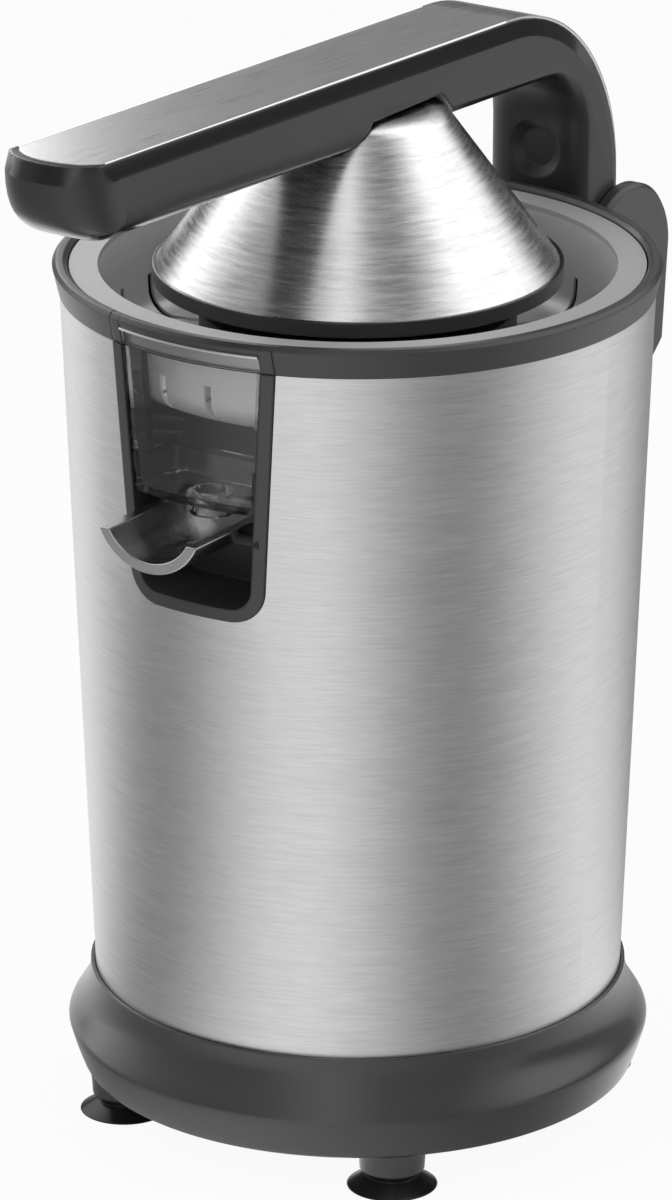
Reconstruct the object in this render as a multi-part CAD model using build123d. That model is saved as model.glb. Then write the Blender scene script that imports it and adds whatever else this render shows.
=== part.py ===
from build123d import *
import math
import os

# Electric citrus juicer with a press lever, in millimetres.
# The origin is on the table under the body axis, the spout faces -Y and the hinge is at +Y.

# Overall
lip_height = 43.6
rim_height = 257.2
sleeve_foot_radius = 79.8
sleeve_head_radius = 87.9
fit = 0.2
shaft_play = 0.05
overrun = 6.0

# Steel sleeve and its front opening
sleeve_wall = 0.8
sleeve_seat = 4.2
opening_top_half = 28.4
opening_draw = 5.4
opening_low_half = opening_top_half - opening_draw
opening_height = 77.6
opening_bottom = rim_height - opening_height
opening_corner = 11.0

# Base housing
base_lip_wall = 1.4
base_lip_radius = sleeve_foot_radius + base_lip_wall
base_flare = 6.9
base_wide_radius = base_lip_radius + base_flare
base_wide_height = 25.0
base_tuck = 5.6
base_foot_radius = base_wide_radius - base_tuck
base_bottom = 11.5
base_wall = 2.4
base_shelf_width = 12.5
base_shelf_inner = base_foot_radius - base_shelf_width
base_shelf_thick = 2.5
shoulder_radius_share = 0.67
shoulder_height_share = 0.60
flank_radius_share = 0.70
flank_height_share = 0.40

# Feet
foot_inset = 9.58
foot_circle = base_foot_radius - foot_inset
foot_angle = 47.78
boss_radius = 10.2
boss_taper = 1.0
boss_bottom = 5.5
cup_radius = 13.5
cup_edge = 0.9
cup_neck_radius = 8.2
cup_neck_height = 3.6
cup_hollow = 2.4
foot_stem_radius = 4.0
foot_stem_length = 5.0

# Base plate, its screws and vents
plate_thick = 2.5
vent_count = 16
vent_radius = 42.0
vent_length = 16.0
vent_width = 3.0
screw_radius = 1.75
screw_length = 18.0
screw_head_radius = 3.5
screw_head_height = 2.0

# Cord gland
gland_drop = 1.0
gland_height = base_wide_height - gland_drop
gland_radius = 7.0
gland_flange_radius = 9.5
gland_flange_thick = 2.0
gland_bore_radius = 3.5
gland_length = 12.0

# Top rim
rim_rise = 8.8
rim_top = rim_height + rim_rise
rim_overlap = 0.3
rim_base_radius = sleeve_head_radius + rim_overlap
rim_flare = 2.1
rim_top_radius = sleeve_head_radius + rim_flare
rim_width = 4.5
rim_inner_radius = rim_top_radius - rim_width
rim_edge = 1.2
ledge_rise = 4.0
ledge_top = rim_height + ledge_rise
ledge_thick = 2.5
ledge_width = 4.1
ledge_inner_radius = rim_inner_radius - ledge_width
spigot_gap = 0.3
spigot_wall = 1.5
spigot_depth = 8.2
leg_count = 4
leg_width = 12.0
leg_thick = 3.0

# Spindle and its collar
hex_across = 10.0
hex_play = 0.1
spindle_end = 1.4
spindle_collar_radius = 10.5
spindle_collar_thick = 3.0
spindle_shoulder = 7.0

# Juice collector
flange_gap = 0.5
collector_flange_radius = rim_inner_radius - flange_gap
collector_flange_thick = 2.5
collector_gap = 0.4
collector_radius = ledge_inner_radius - collector_gap
collector_draft = 1.5
collector_foot_radius = collector_radius - collector_draft
collector_wall = 2.0
collector_depth = 39.2
collector_bottom = ledge_top - collector_depth
sump_drop = 8.6
window_bottom = collector_bottom - sump_drop
chimney_gap = 2.0
chimney_wall = 2.0
chimney_radius = spindle_collar_radius + chimney_gap + chimney_wall
chimney_height = 21.0
chimney_top = collector_bottom + chimney_height
nozzle_radius = 6.5
nozzle_wall = 2.0
nozzle_set = 11.0
nozzle_drop = 5.0

# Spout surround
frame_width = 4.0
frame_proud = 0.8
frame_depth = 3.0
niche_wall = 2.0
niche_depth = 27.9
niche_back = sleeve_head_radius - niche_depth
niche_gap = 0.4
sump_gap = 2.0
sump_back = niche_back + niche_wall + sump_gap
nozzle_y = sump_back + nozzle_set

# Spout trough
trough_radius = 18.7
trough_depth = 11.0
trough_wall = 2.6
trough_edge = 1.0
trough_gap = 3.8
trough_top = window_bottom - trough_gap
trough_reach = 19.1
trough_front = sleeve_head_radius + trough_reach
trough_clear = 2.5
trough_back = niche_back + niche_wall + trough_clear
trough_pivot_set = 5.9
trough_pivot_y = sleeve_head_radius - trough_pivot_set
trough_pivot_drop = 4.6
trough_pin_radius = 2.0
trough_pin_grip = 1.4

# Strainer bowl
strainer_sheet = 0.8
strainer_gap = 1.6
strainer_radius = collector_radius - collector_wall - strainer_gap - strainer_sheet
strainer_draft = 1.8
strainer_foot_radius = strainer_radius - strainer_draft
strainer_depth = 30.1
strainer_floor = ledge_top + collector_flange_thick - strainer_depth
strainer_rise = 4.0
strainer_corner = 8.0
strainer_collar_gap = 0.7
strainer_collar_radius = chimney_radius + strainer_collar_gap
strainer_lip = 1.0
strainer_collar_top = strainer_floor + strainer_rise + strainer_sheet + strainer_lip

# Reamer
skirt_radius = 47.0
skirt_wall = 2.5
skirt_lift = 6.0
skirt_low = strainer_floor + skirt_lift
skirt_height = 11.8
skirt_high = skirt_low + skirt_height
skirt_slots = 20
skirt_slot_width = 4.0
skirt_slot_height = 7.0
skirt_roof = 3.0
reamer_hollow_top = skirt_high - skirt_roof
reamer_inset = 9.0
reamer_radius = skirt_radius - reamer_inset
reamer_step = 2.5
reamer_low = skirt_high + reamer_step
reamer_height = 43.5
reamer_tip = reamer_low + reamer_height
reamer_tip_radius = 3.0
reamer_bulge_share = 0.60
fin_count = 8
fin_thick = 2.6
fin_rise = 3.0
reamer_hub_radius = 9.5
reamer_hub_drop = 2.0
reamer_hub_low = reamer_hollow_top - reamer_hub_drop
socket_depth = 30.0
reamer_socket_top = reamer_hub_low + socket_depth
spindle_collar_low = reamer_hub_low - spindle_shoulder - spindle_collar_thick

# Strainer slots
slot_count = 28
slot_width = 2.4
dish_gap = 3.0
strainer_dish_radius = skirt_radius + dish_gap
slot_gap = 2.0
slot_inner_radius = strainer_dish_radius + slot_gap
slot_height = 13.4
slot_top = strainer_floor + slot_height

# Chassis deck
deck_thick = 3.0
deck_gap = 14.0
deck_low = collector_bottom - deck_gap - deck_thick
deck_boss_wall = 4.6
deck_boss_drop = 8.0
deck_boss_low = deck_low - deck_boss_drop
post_radius = 5.0
post_gap = 0.88
post_circle = base_shelf_inner - post_radius - post_gap
post_angle = 20.64

# Gears
pressure_angle = 25.0
addendum_share = 0.9
dedendum_share = 1.2
backlash_share = 0.16
drive_module = 1.25
drive_teeth = 48
motor_module = 1.0
wheel_teeth = 42
pinion_teeth = 12
drive_gear_drop = 27.0
drive_gear_low = deck_low - drive_gear_drop
drive_gear_thick = 8.0
drive_web_thick = 3.0
drive_rim_width = 4.0
hub_radius = 8.0
hub_rise = 4.0
hub_high = deck_low + deck_thick + hub_rise
hub_collar_wall = 4.0
idler_pinion_over = 2.0
idler_axle_radius = 2.5
motor_pinion_over = 1.5

# Gear plate, bushes, seal and pillars
gear_plate_drop = 50.0
gear_plate_low = deck_low - gear_plate_drop
gear_plate_thick = 3.0
gear_plate_margin = 8.0
bush_wall = 2.4
bush_flange_wall = 1.6
bush_flange_thick = 1.5
bush_radius = hub_radius + bush_wall
plate_boss_wall = 2.6
plate_boss_radius = bush_radius + plate_boss_wall
plate_boss_height = 14.5
plate_boss_top = gear_plate_low + plate_boss_height
hub_end = 5.0
hub_low = gear_plate_low + hub_end
spindle_low = hub_low - spindle_end
wheel_lift = 9.0
wheel_low = gear_plate_low + wheel_lift
wheel_thick = 7.0
seal_wall = 5.0
seal_thick = 2.0
pillar_radius = 4.0
pillar_gap = 11.0
pillar_angles = (157.0, -11.0, 249.0)

# Return spring
spring_radius = (hex_across / math.sqrt(3) + hub_radius) / 2
spring_wire_radius = 0.7
spring_turns = 6
spring_seat = 0.15

# Motor
motor_radius = 26.0
motor_wall = 2.0
motor_length = 63.0
motor_low = gear_plate_low - motor_length
motor_neck_radius = 8.0
motor_neck_height = 4.0
armature_radius = 18.0
armature_gap = 8.0
motor_shaft_radius = 2.5
motor_screw_reach = 16.0
motor_screw_length = 9.0

# Start switch
switch_length = 28.0
switch_width = 7.0
switch_height = 15.0
plunger_radius = 2.0
plunger_gap = 0.3
plunger_length = 12.0
plunger_stroke = 3.5

# Press
press_ring_rise = 3.2
press_ring_low = rim_height + press_ring_rise
press_ring_height = 4.5
press_low = press_ring_low + press_ring_height
press_radius = 59.5
press_ring_proud = 1.2
press_ring_radius = press_radius + press_ring_proud
press_ring_width = 6.7
press_ring_inner = press_ring_radius - press_ring_width
press_head_radius = 24.8
press_height = 48.1
press_high = press_low + press_height
press_sheet = 0.8
press_crown_round = 9.0
liner_wall = 2.0
liner_gap = 0.3
liner_rib_count = 8
liner_rib_thick = 1.6
liner_rib_rise = 2.5
pocket_gap = 1.1
pivot_rise = 6.0
pivot_height = press_high + pivot_rise
press_pin_radius = 2.5
press_pin_grip = 6.0
lug_half = 5.0
lug_radius = 5.0
lug_foot_radius = 9.0
lug_foot_thick = 2.0
lug_stem_radius = 5.0
lug_side_gap = 1.0
lug_gap = 2.2

# Lever arm
arm_half = 17.6
arm_thick = 23.0
arm_slope = 1.86
arm_tip = 155.0
arm_tip_bow = 7.0
arm_tip_corner = arm_tip - arm_tip_bow
arm_tip_round = 12.0
arm_nose_top = 7.5
arm_nose_run = 25.0
arm_bend_radius = 60.0
arm_inner_bend = 18.0
arm_cover = 9.4
post_clear = 7.6
post_front = sleeve_head_radius + post_clear
post_depth = 22.5
post_back = post_front + post_depth
arm_lean = math.tan(math.radians(arm_slope))
arm_bend_rise = arm_bend_radius * math.hypot(1, arm_lean) + (post_back - arm_bend_radius) * arm_lean
arm_bend_height = pivot_height + arm_cover - arm_bend_rise
belly_round = 9.0
bevel_drop = 5.0
bevel_in = 2.2
top_plate_thick = 1.0
top_plate_play = 0.1
top_plate_drop = 8.5
top_plate_low = arm_bend_height - top_plate_drop
hinge_drop = 15.2
hinge_height = rim_height - hinge_drop
dish_rise = 33.2
dish_height = hinge_height + dish_rise
dish_radius = 9.2
dish_depth = 2.2
plug_radius = 5.6
plug_depth = 4.0
plug_sink = 0.8

# Hinge bracket and pin
ear_gap = 0.4
ear_inner = arm_half + ear_gap
ear_thick = 4.4
ear_radius = 22.5
ear_set = 28.1
ear_y = sleeve_head_radius + ear_set
ear_drop = 17.6
ear_z = rim_height - ear_drop
ear_edge = 1.2
spine_set = 19.5
spine_back = ear_y + spine_set
spine_back_drop = 49.2
spine_back_height = rim_height - spine_back_drop
spine_length = 74.2
spine_low = rim_height - spine_length
spine_belly_share = 0.62
slot_floor_gap = 0.9
pin_radius = 3.0
pin_grip = 3.0
bracket_screw_x = 10.0
bracket_screw_drops = (61.2, 38.2)
bracket_screw_bite = 9.0
bracket_screw_room = 3.0


# Shared geometry
def sleeve_radius(z):
    """Outside radius of the steel sleeve at height z."""
    share = (z - lip_height) / (rim_height - lip_height)
    return sleeve_foot_radius + share * (sleeve_head_radius - sleeve_foot_radius)


def sleeve_cone(offset, low, high):
    """A solid cone that follows the sleeve's outside, moved out by offset."""
    points = ((0, low), (sleeve_radius(low) + offset, low), (sleeve_radius(high) + offset, high), (0, high))
    return turned(*points)


def turned(*points):
    """A solid turned about Z from a closed outline of (radius, height) points."""
    return revolve(Plane.XZ * make_face(Polyline(*points, close=True)), Axis.Z)


def turned_outline(*edges):
    """A solid turned about Z from lines and arcs that close in the (radius, height) plane."""
    return revolve(Plane.XZ * make_face(edges), Axis.Z)


def ring(outer, inner, low, high):
    """A plain ring about Z."""
    return turned((inner, low), (outer, low), (outer, high), (inner, high))


def rod(radius, low, high, x=0, y=0):
    """A round rod along Z."""
    base = (Align.CENTER, Align.CENTER, Align.MIN)
    return Pos(x, y, low) * Cylinder(radius, high - low, align=base)


def cross_rod(radius, left, right, y, z):
    """A round rod along X."""
    base = (Align.CENTER, Align.CENTER, Align.MIN)
    return Pos(left, y, z) * Rot(0, 90, 0) * Cylinder(radius, right - left, align=base)


def block(left, right, front, back, low, high):
    """A box between two opposite corners."""
    middle = Pos((left + right) / 2, (front + back) / 2, (low + high) / 2)
    return middle * Box(right - left, back - front, high - low)


def around(count, solid, start=0):
    """Copies of a solid, evenly spaced about Z."""
    return [Rot(0, 0, start + index * 360 / count) * solid for index in range(count)]


def forward(face, near, far):
    """Extrudes an (x, z) face along -Y, from a distance near to a distance far in front of the axis."""
    return Pos(0, -near, 0) * extrude(Plane.XZ * face, far - near)


def sideways(face, half):
    """Extrudes a (y, z) face by half to both sides of the middle plane."""
    return extrude(Plane.YZ * face, half, both=True)


def hexagon_bar(across, low, high):
    """A hexagonal bar along Z, given across its flats."""
    outline = RegularPolygon(across / 2, 6, major_radius=False)
    return Pos(0, 0, low) * extrude(outline, high - low)


def screw(low, x, y, length):
    """A pan-head screw that points up, with its head below height low."""
    head = rod(screw_head_radius, low - screw_head_height, low, x, y)
    return head + rod(screw_radius, low, low + length, x, y)


# Front opening
def opening_half(z):
    """Half the width of the front opening at height z."""
    share = (z - opening_bottom) / (rim_height - opening_bottom)
    return opening_low_half + share * (opening_top_half - opening_low_half)


def opening_outline(inset, top):
    """The U of the front opening, drawn in by inset, up to height top, as an (x, z) face."""
    low = opening_bottom + inset
    wide = opening_half(top) - inset
    narrow = opening_half(low) - inset
    face = make_face(Polyline((-wide, top), (-narrow, low), (narrow, low), (wide, top), close=True))
    corners = face.vertices().sort_by(Axis.Y)[:2]
    return fillet(corners, opening_corner - inset)


def opening_cut(inset, top):
    """The front opening as a solid to cut with."""
    return forward(opening_outline(inset, top), niche_back, rim_top_radius + overrun)


# Body
def base_shell():
    """The flared foot ring, with the groove that holds the sleeve and a shelf over the base plate."""
    seat = lip_height - sleeve_seat
    groove = sleeve_foot_radius + fit
    ledge = sleeve_radius(seat) - sleeve_wall - base_wall
    flare = base_wide_radius - base_lip_radius
    shoulder = (
        base_lip_radius + flare * shoulder_radius_share,
        base_wide_height + (seat - base_wide_height) * shoulder_height_share,
    )
    flank = (
        base_foot_radius + (base_wide_radius - base_foot_radius) * flank_radius_share,
        base_bottom + (base_wide_height - base_bottom) * flank_height_share,
    )
    shelf_low = base_bottom + plate_thick
    shelf_high = shelf_low + base_shelf_thick
    wide = (base_wide_radius, base_wide_height)
    foot = (base_foot_radius, base_bottom)
    inside = Polyline(
        foot,
        (base_foot_radius - base_wall, base_bottom),
        (base_foot_radius - base_wall, shelf_low),
        (base_shelf_inner, shelf_low),
        (base_shelf_inner, shelf_high),
        (base_foot_radius, shelf_high),
        (base_wide_radius - base_wall, base_wide_height),
        (ledge, seat - base_wall),
        (ledge, seat),
        (groove, seat),
        (groove, lip_height),
        (base_lip_radius, lip_height),
        (base_lip_radius, seat),
    )
    return turned_outline(
        *inside.edges(),
        ThreePointArc((base_lip_radius, seat), shoulder, wide),
        ThreePointArc(wide, flank, foot),
    )


def foot_places():
    """The four feet by name."""
    x = foot_circle * math.cos(math.radians(foot_angle))
    y = foot_circle * math.sin(math.radians(foot_angle))
    return {"front_left": (-x, -y), "front_right": (x, -y), "rear_left": (-x, y), "rear_right": (x, y)}


def foot_boss(x, y):
    """A tapered boss under the base, bored for the stem of a foot."""
    height = base_bottom + plate_thick + base_shelf_thick - boss_bottom
    base = (Align.CENTER, Align.CENTER, Align.MIN)
    boss = Pos(x, y, boss_bottom) * Cone(boss_radius - boss_taper, boss_radius, height, align=base)
    return boss - rod(foot_stem_radius + shaft_play, 0, boss_bottom + foot_stem_length + fit, x, y)


def gland_bore(radius):
    """A bore along Y through the back of the base."""
    bore = Cylinder(radius, base_wide_radius, align=(Align.CENTER, Align.CENTER, Align.MIN))
    return Pos(0, base_shelf_inner, gland_height) * Rot(-90, 0, 0) * bore


def base_housing():
    """The base shell with its four foot bosses and the hole for the cord gland."""
    shell = base_shell()
    for x, y in foot_places().values():
        shell = shell - rod(foot_stem_radius + shaft_play, 0, lip_height, x, y)
        shell = shell + foot_boss(x, y)
    return shell - gland_bore(gland_radius + fit)


def suction_foot(x, y):
    """A rubber suction cup with a stem that plugs into its boss."""
    edge = cup_radius - cup_edge
    outline = (
        (0, boss_bottom + foot_stem_length),
        (0, cup_hollow),
        (edge, 0),
        (cup_radius, 0),
        (cup_neck_radius, cup_neck_height),
        (boss_radius - boss_taper, boss_bottom),
        (foot_stem_radius, boss_bottom),
        (foot_stem_radius, boss_bottom + foot_stem_length),
    )
    return Pos(x, y, 0) * turned(*outline)


def post_places():
    """The four chassis posts."""
    x = post_circle * math.cos(math.radians(post_angle))
    y = post_circle * math.sin(math.radians(post_angle))
    return [(-x, -y), (-x, y), (x, -y), (x, y)]


def base_plate():
    """The plate that closes the base, notched round the bosses, with vents and screw holes."""
    high = base_bottom + plate_thick
    plate = rod(base_foot_radius - base_wall - fit, base_bottom, high)
    for x, y in foot_places().values():
        plate = plate - rod(boss_radius + fit, 0, lip_height, x, y)
    for x, y in post_places():
        plate = plate - rod(screw_radius + shaft_play, 0, lip_height, x, y)
    vent = Pos(vent_radius, 0, high) * extrude(SlotOverall(vent_length, vent_width), overrun, both=True)
    return plate - around(vent_count, vent)


def base_screws():
    """Four screws up through the base plate into the chassis posts."""
    return [screw(base_bottom, x, y, screw_length) for x, y in post_places()]


def cord_gland():
    """A flanged bush in the back wall of the base, with the cord's bore through it."""
    bush = Cylinder(gland_radius, gland_length, align=(Align.CENTER, Align.CENTER, Align.MAX))
    flange = Cylinder(gland_flange_radius, gland_flange_thick, align=(Align.CENTER, Align.CENTER, Align.MIN))
    seat = Pos(0, base_wide_radius, gland_height) * Rot(-90, 0, 0)
    return seat * (bush + flange) - gland_bore(gland_bore_radius)


def steel_sleeve():
    """The tapered steel sleeve with its front opening and the holes of the bracket screws."""
    low = lip_height - sleeve_seat
    foot = sleeve_radius(low)
    shell = turned(
        (foot - sleeve_wall, low),
        (foot, low),
        (sleeve_head_radius, rim_height),
        (sleeve_head_radius - sleeve_wall, rim_height),
    )
    shell = shell - opening_cut(0, rim_height + overrun)
    for x, z in bracket_screw_places():
        shell = shell - bracket_bore(x, z, screw_radius + fit)
    return shell


def rim_section(inner_low):
    """Outline of the rim above the sleeve, down to inner_low inside."""
    return (
        (rim_base_radius, rim_height),
        (rim_top_radius, rim_top - rim_edge),
        (rim_top_radius - rim_edge, rim_top),
        (rim_inner_radius + rim_edge, rim_top),
        (rim_inner_radius, rim_top - rim_edge),
        (rim_inner_radius, inner_low),
    )


def top_rim():
    """The rim with the ledge for the collector, a spigot into the sleeve and legs down to the deck."""
    spigot_low = rim_height - spigot_depth
    spigot_radius = sleeve_radius(spigot_low) - sleeve_wall - spigot_gap
    under = ledge_top - ledge_thick
    whole = turned(
        *rim_section(ledge_top),
        (ledge_inner_radius, ledge_top),
        (ledge_inner_radius, under),
        (spigot_radius - spigot_wall, under),
        (spigot_radius - spigot_wall, spigot_low),
        (spigot_radius, spigot_low),
        (spigot_radius, rim_height),
    )
    inner = ledge_inner_radius + fit
    leg_low = deck_low + deck_thick
    leg = block(inner, inner + leg_thick, -leg_width / 2, leg_width / 2, leg_low, under)
    leg = leg & sleeve_cone(-sleeve_wall - spigot_gap, leg_low, under)
    whole = whole + around(leg_count, leg, 180 / leg_count)
    half = opening_top_half
    return whole - block(-half, half, -rim_top_radius - overrun, 0, deck_low, rim_top + overrun)


def collector_lip():
    """The rim segment that rides on the collector, over its window."""
    segment = turned(*rim_section(rim_height))
    half = opening_top_half - fit
    return segment & block(-half, half, -rim_top_radius - overrun, 0, rim_height, rim_top + overrun)


def bay(inset):
    """The collector's front bay behind the window, drawn in by inset on every wall."""
    face = opening_outline(frame_width + fit + fit + inset, rim_height)
    column = forward(face, sump_back + inset, rim_top_radius + overrun)
    return column & sleeve_cone(-inset, window_bottom + inset, rim_height)


def juice_collector():
    """A clear bowl with a chimney round the spindle, a front bay with its sump, and a nozzle."""
    flange_top = ledge_top + collector_flange_thick
    wall = collector_wall
    bowl = turned(
        (0, collector_bottom),
        (collector_foot_radius, collector_bottom),
        (collector_radius, ledge_top),
        (collector_flange_radius, ledge_top),
        (collector_flange_radius, flange_top),
        (0, flange_top),
    )
    hollow = turned(
        (0, collector_bottom + wall),
        (collector_foot_radius - wall, collector_bottom + wall),
        (collector_radius - wall, flange_top + overrun),
        (0, flange_top + overrun),
    )
    chimney = rod(chimney_radius, collector_bottom, chimney_top)
    nozzle = rod(nozzle_radius, window_bottom - nozzle_drop, window_bottom + wall, 0, -nozzle_y)
    whole = bowl + bay(0) - hollow - bay(wall) + chimney + nozzle
    whole = whole - rod(chimney_radius - chimney_wall, deck_low, rim_top)
    return whole - rod(nozzle_radius - nozzle_wall, deck_low, window_bottom + wall + overrun, 0, -nozzle_y)


def spout_surround():
    """The U frame in the sleeve's opening, with the niche behind its lower part."""
    front = rim_top_radius + overrun
    frame = forward(opening_outline(fit, rim_height), niche_back, front)
    frame = frame - forward(opening_outline(frame_width, rim_height + overrun), niche_back, front)
    frame = frame & sleeve_cone(frame_proud, opening_bottom, rim_height)
    frame = frame - sleeve_cone(-frame_depth, opening_bottom, rim_height)
    niche_top = window_bottom - niche_gap
    well = forward(opening_outline(frame_width - niche_wall, niche_top), niche_back, front)
    well = well & sleeve_cone(-sleeve_wall - fit, opening_bottom, niche_top)
    well = well - forward(opening_outline(frame_width, niche_top + overrun), niche_back + niche_wall, front)
    blind = trough_pin_end() + fit
    sockets = cross_rod(trough_pin_radius + shaft_play, -blind, blind, -trough_pivot_y, trough_pivot_z())
    return frame + well - sockets


def trough_pivot_z():
    """Height of the trough's pivot."""
    return trough_top - trough_pivot_drop


def trough_pin_end():
    """How far the trough's pins reach to each side: into the niche walls."""
    return opening_half(trough_pivot_z()) - frame_width + trough_pin_grip


def spout_trough():
    """A half-pipe trough with a closed back and a pivot pin at each side."""
    bottom = trough_top - trough_depth
    outer = Pos(0, bottom + trough_radius) * Circle(trough_radius)
    inner = Pos(0, bottom + trough_radius) * Circle(trough_radius - trough_wall)
    reach = trough_pin_end()
    pins = cross_rod(trough_pin_radius, -reach, reach, -trough_pivot_y, trough_pivot_z())
    trough = forward(outer, trough_back, trough_front) + pins
    trough = trough - forward(inner, trough_back + trough_wall, trough_front + overrun)
    trough = trough & block(-reach, reach, -trough_front, -trough_back, bottom, trough_top)
    return fillet(trough.edges().group_by(Axis.Y)[0], trough_edge)


def strainer_pressing():
    """A sheet-steel bowl with a flat flange and a lip round the hole in its floor."""
    top = ledge_top + collector_flange_thick
    sheet = strainer_sheet
    collar = strainer_collar_radius + sheet
    rise = strainer_floor + strainer_rise
    section = make_face(Polyline(
        (collector_flange_radius, top),
        (collector_flange_radius, top + sheet),
        (strainer_radius, top + sheet),
        (strainer_foot_radius, strainer_floor + sheet),
        (collar, rise + sheet),
        (collar, strainer_collar_top),
        (strainer_collar_radius, strainer_collar_top),
        (strainer_collar_radius, rise),
        (strainer_foot_radius + sheet, strainer_floor),
        (strainer_radius + sheet, top),
        close=True,
    ))
    corners = section.vertices().filter_by_position(Axis.Y, strainer_floor, strainer_floor + sheet)
    section = fillet(corners.sort_by(Axis.X)[:1], strainer_corner)
    corners = section.vertices().filter_by_position(Axis.Y, strainer_floor, strainer_floor)
    section = fillet(corners, strainer_corner + sheet)
    return revolve(Plane.XZ * section, Axis.Z)


def strainer_dish():
    """The plain middle of the strainer's floor, under the reamer."""
    return strainer_pressing() & rod(strainer_dish_radius, strainer_floor, strainer_collar_top)


def strainer_bowl():
    """The strainer round its middle, with slots across its lower wall and floor."""
    bowl = strainer_pressing() - rod(strainer_dish_radius, strainer_floor, strainer_collar_top)
    slot = block(
        slot_inner_radius, strainer_radius + overrun, -slot_width / 2, slot_width / 2,
        strainer_floor - overrun, slot_top,
    )
    return bowl - around(slot_count, slot)


# Drive
def hex_socket(low, high):
    """A hexagonal hole that the spindle slides in."""
    return hexagon_bar(hex_across + hex_play * 2, low, high)


def reamer():
    """The reamer cone with its fins and foot disc, and the hub that drops over the spindle."""
    foot = (reamer_radius, reamer_low)
    tip = (reamer_tip_radius, reamer_tip)
    height = reamer_tip - reamer_low
    bulge = (reamer_radius * reamer_bulge_share, reamer_low + height / 2)
    under = Polyline(
        (0, reamer_tip),
        (0, reamer_hub_low),
        (reamer_hub_radius, reamer_hub_low),
        (reamer_hub_radius, reamer_hollow_top),
        (skirt_radius, reamer_hollow_top),
        (skirt_radius, skirt_high),
        foot,
    )
    core = turned_outline(*under.edges(), ThreePointArc(foot, bulge, tip), Line(tip, (0, reamer_tip)))
    edge = (reamer_radius + fin_rise, reamer_low)
    crest = (bulge[0] + fin_rise, bulge[1])
    peak = (0, reamer_tip + fin_rise)
    blade = make_face([
        Line((0, reamer_low), edge),
        ThreePointArc(edge, crest, peak),
        Line(peak, (0, reamer_low)),
    ])
    fin = extrude(Plane.XZ * blade, fin_thick / 2, both=True)
    whole = core + around(fin_count, fin)
    return whole - hex_socket(reamer_hub_low - overrun, reamer_socket_top)


def reamer_skirt():
    """The slotted skirt under the reamer's foot disc."""
    inner = skirt_radius - skirt_wall
    half = skirt_slot_width / 2
    top = skirt_low + skirt_slot_height
    cut = block(inner - skirt_wall, skirt_radius + overrun, -half, half, skirt_low - overrun, top)
    return ring(skirt_radius, inner, skirt_low, reamer_hollow_top) - around(skirt_slots, cut)


def drive_spindle():
    """The hexagonal spindle with the collar that carries the reamer and takes the spring."""
    collar_top = spindle_collar_low + spindle_collar_thick
    bar = hexagon_bar(hex_across, spindle_low, reamer_socket_top - fit)
    collar = rod(spindle_collar_radius, spindle_collar_low, collar_top)
    return bar + collar + rod(reamer_hub_radius, collar_top, reamer_hub_low)


def return_spring():
    """The coil spring between the gear's hub and the spindle's collar."""
    low = hub_high + spring_wire_radius + spring_seat
    height = spindle_collar_low - spring_wire_radius - spring_seat - low
    path = Pos(0, 0, low) * Helix(height / spring_turns, height, spring_radius)
    return sweep((path ^ 0) * Circle(spring_wire_radius), path)


def gear_outline(teeth, module):
    """An involute spur gear's outline with one tooth on the X axis."""
    pressure = math.radians(pressure_angle)
    pitch = teeth * module / 2
    base = pitch * math.cos(pressure)
    root = pitch - dedendum_share * module
    tip = pitch + addendum_share * module
    half_tooth = (math.pi / 2 - backlash_share) / teeth

    def half_angle(radius):
        roll = math.acos(min(base / radius, 1))
        return half_tooth + math.tan(pressure) - pressure - math.tan(roll) + roll

    radii = sorted({root, max(root, base), pitch, tip})
    flanks = [(radius, -1) for radius in radii] + [(radius, 1) for radius in reversed(radii)]
    points = []
    for tooth in range(teeth):
        for radius, side in flanks:
            angle = 2 * math.pi * tooth / teeth + side * half_angle(radius)
            points.append((radius * math.cos(angle), radius * math.sin(angle)))
    return make_face(Polyline(*points, close=True))


def spur_gear(teeth, module, low, thick, turn=0):
    """A spur gear about Z, turned by an angle."""
    return Pos(0, 0, low) * Rot(0, 0, turn) * extrude(gear_outline(teeth, module), thick)


def mesh_distance(first_teeth, second_teeth, module):
    """Distance between the axes of two gears in mesh."""
    return (first_teeth + second_teeth) * module / 2


def idler_y():
    """The idler's axis lies behind the spindle."""
    return mesh_distance(drive_teeth, pinion_teeth, drive_module)


def motor_x():
    """The motor's axis lies beside the idler."""
    return mesh_distance(wheel_teeth, pinion_teeth, motor_module)


def half_tooth_turn():
    """Turns a pinion so that a gap faces the tooth of its partner."""
    return 180 / pinion_teeth


def drive_gear():
    """The large gear with a thin web, on the hub that runs in the two bushes."""
    pitch = drive_teeth * drive_module / 2
    collar_radius = hub_radius + hub_collar_wall
    web_outer = pitch - dedendum_share * drive_module - drive_rim_width
    gear = spur_gear(drive_teeth, drive_module, drive_gear_low, drive_gear_thick)
    high = drive_gear_low + drive_gear_thick
    hollow = ring(web_outer, collar_radius, drive_gear_low + drive_web_thick, high + overrun)
    collar = rod(collar_radius, plate_boss_top + bush_flange_thick + fit, drive_gear_low)
    hub = rod(hub_radius, hub_low, hub_high)
    return gear - hollow + collar + hub - hex_socket(hub_low - overrun, hub_high + overrun)


def idler_gear():
    """The double idler: a wheel that the motor drives and a pinion that drives the large gear."""
    pinion_high = drive_gear_low + drive_gear_thick + idler_pinion_over
    wheel = spur_gear(wheel_teeth, motor_module, wheel_low, wheel_thick)
    neck = spur_gear(pinion_teeth, drive_module, wheel_low + wheel_thick,
                     pinion_high - wheel_low - wheel_thick, half_tooth_turn())
    bore = rod(idler_axle_radius + shaft_play, wheel_low - overrun, pinion_high + overrun)
    return Pos(0, idler_y(), 0) * (wheel + neck - bore)


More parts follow.
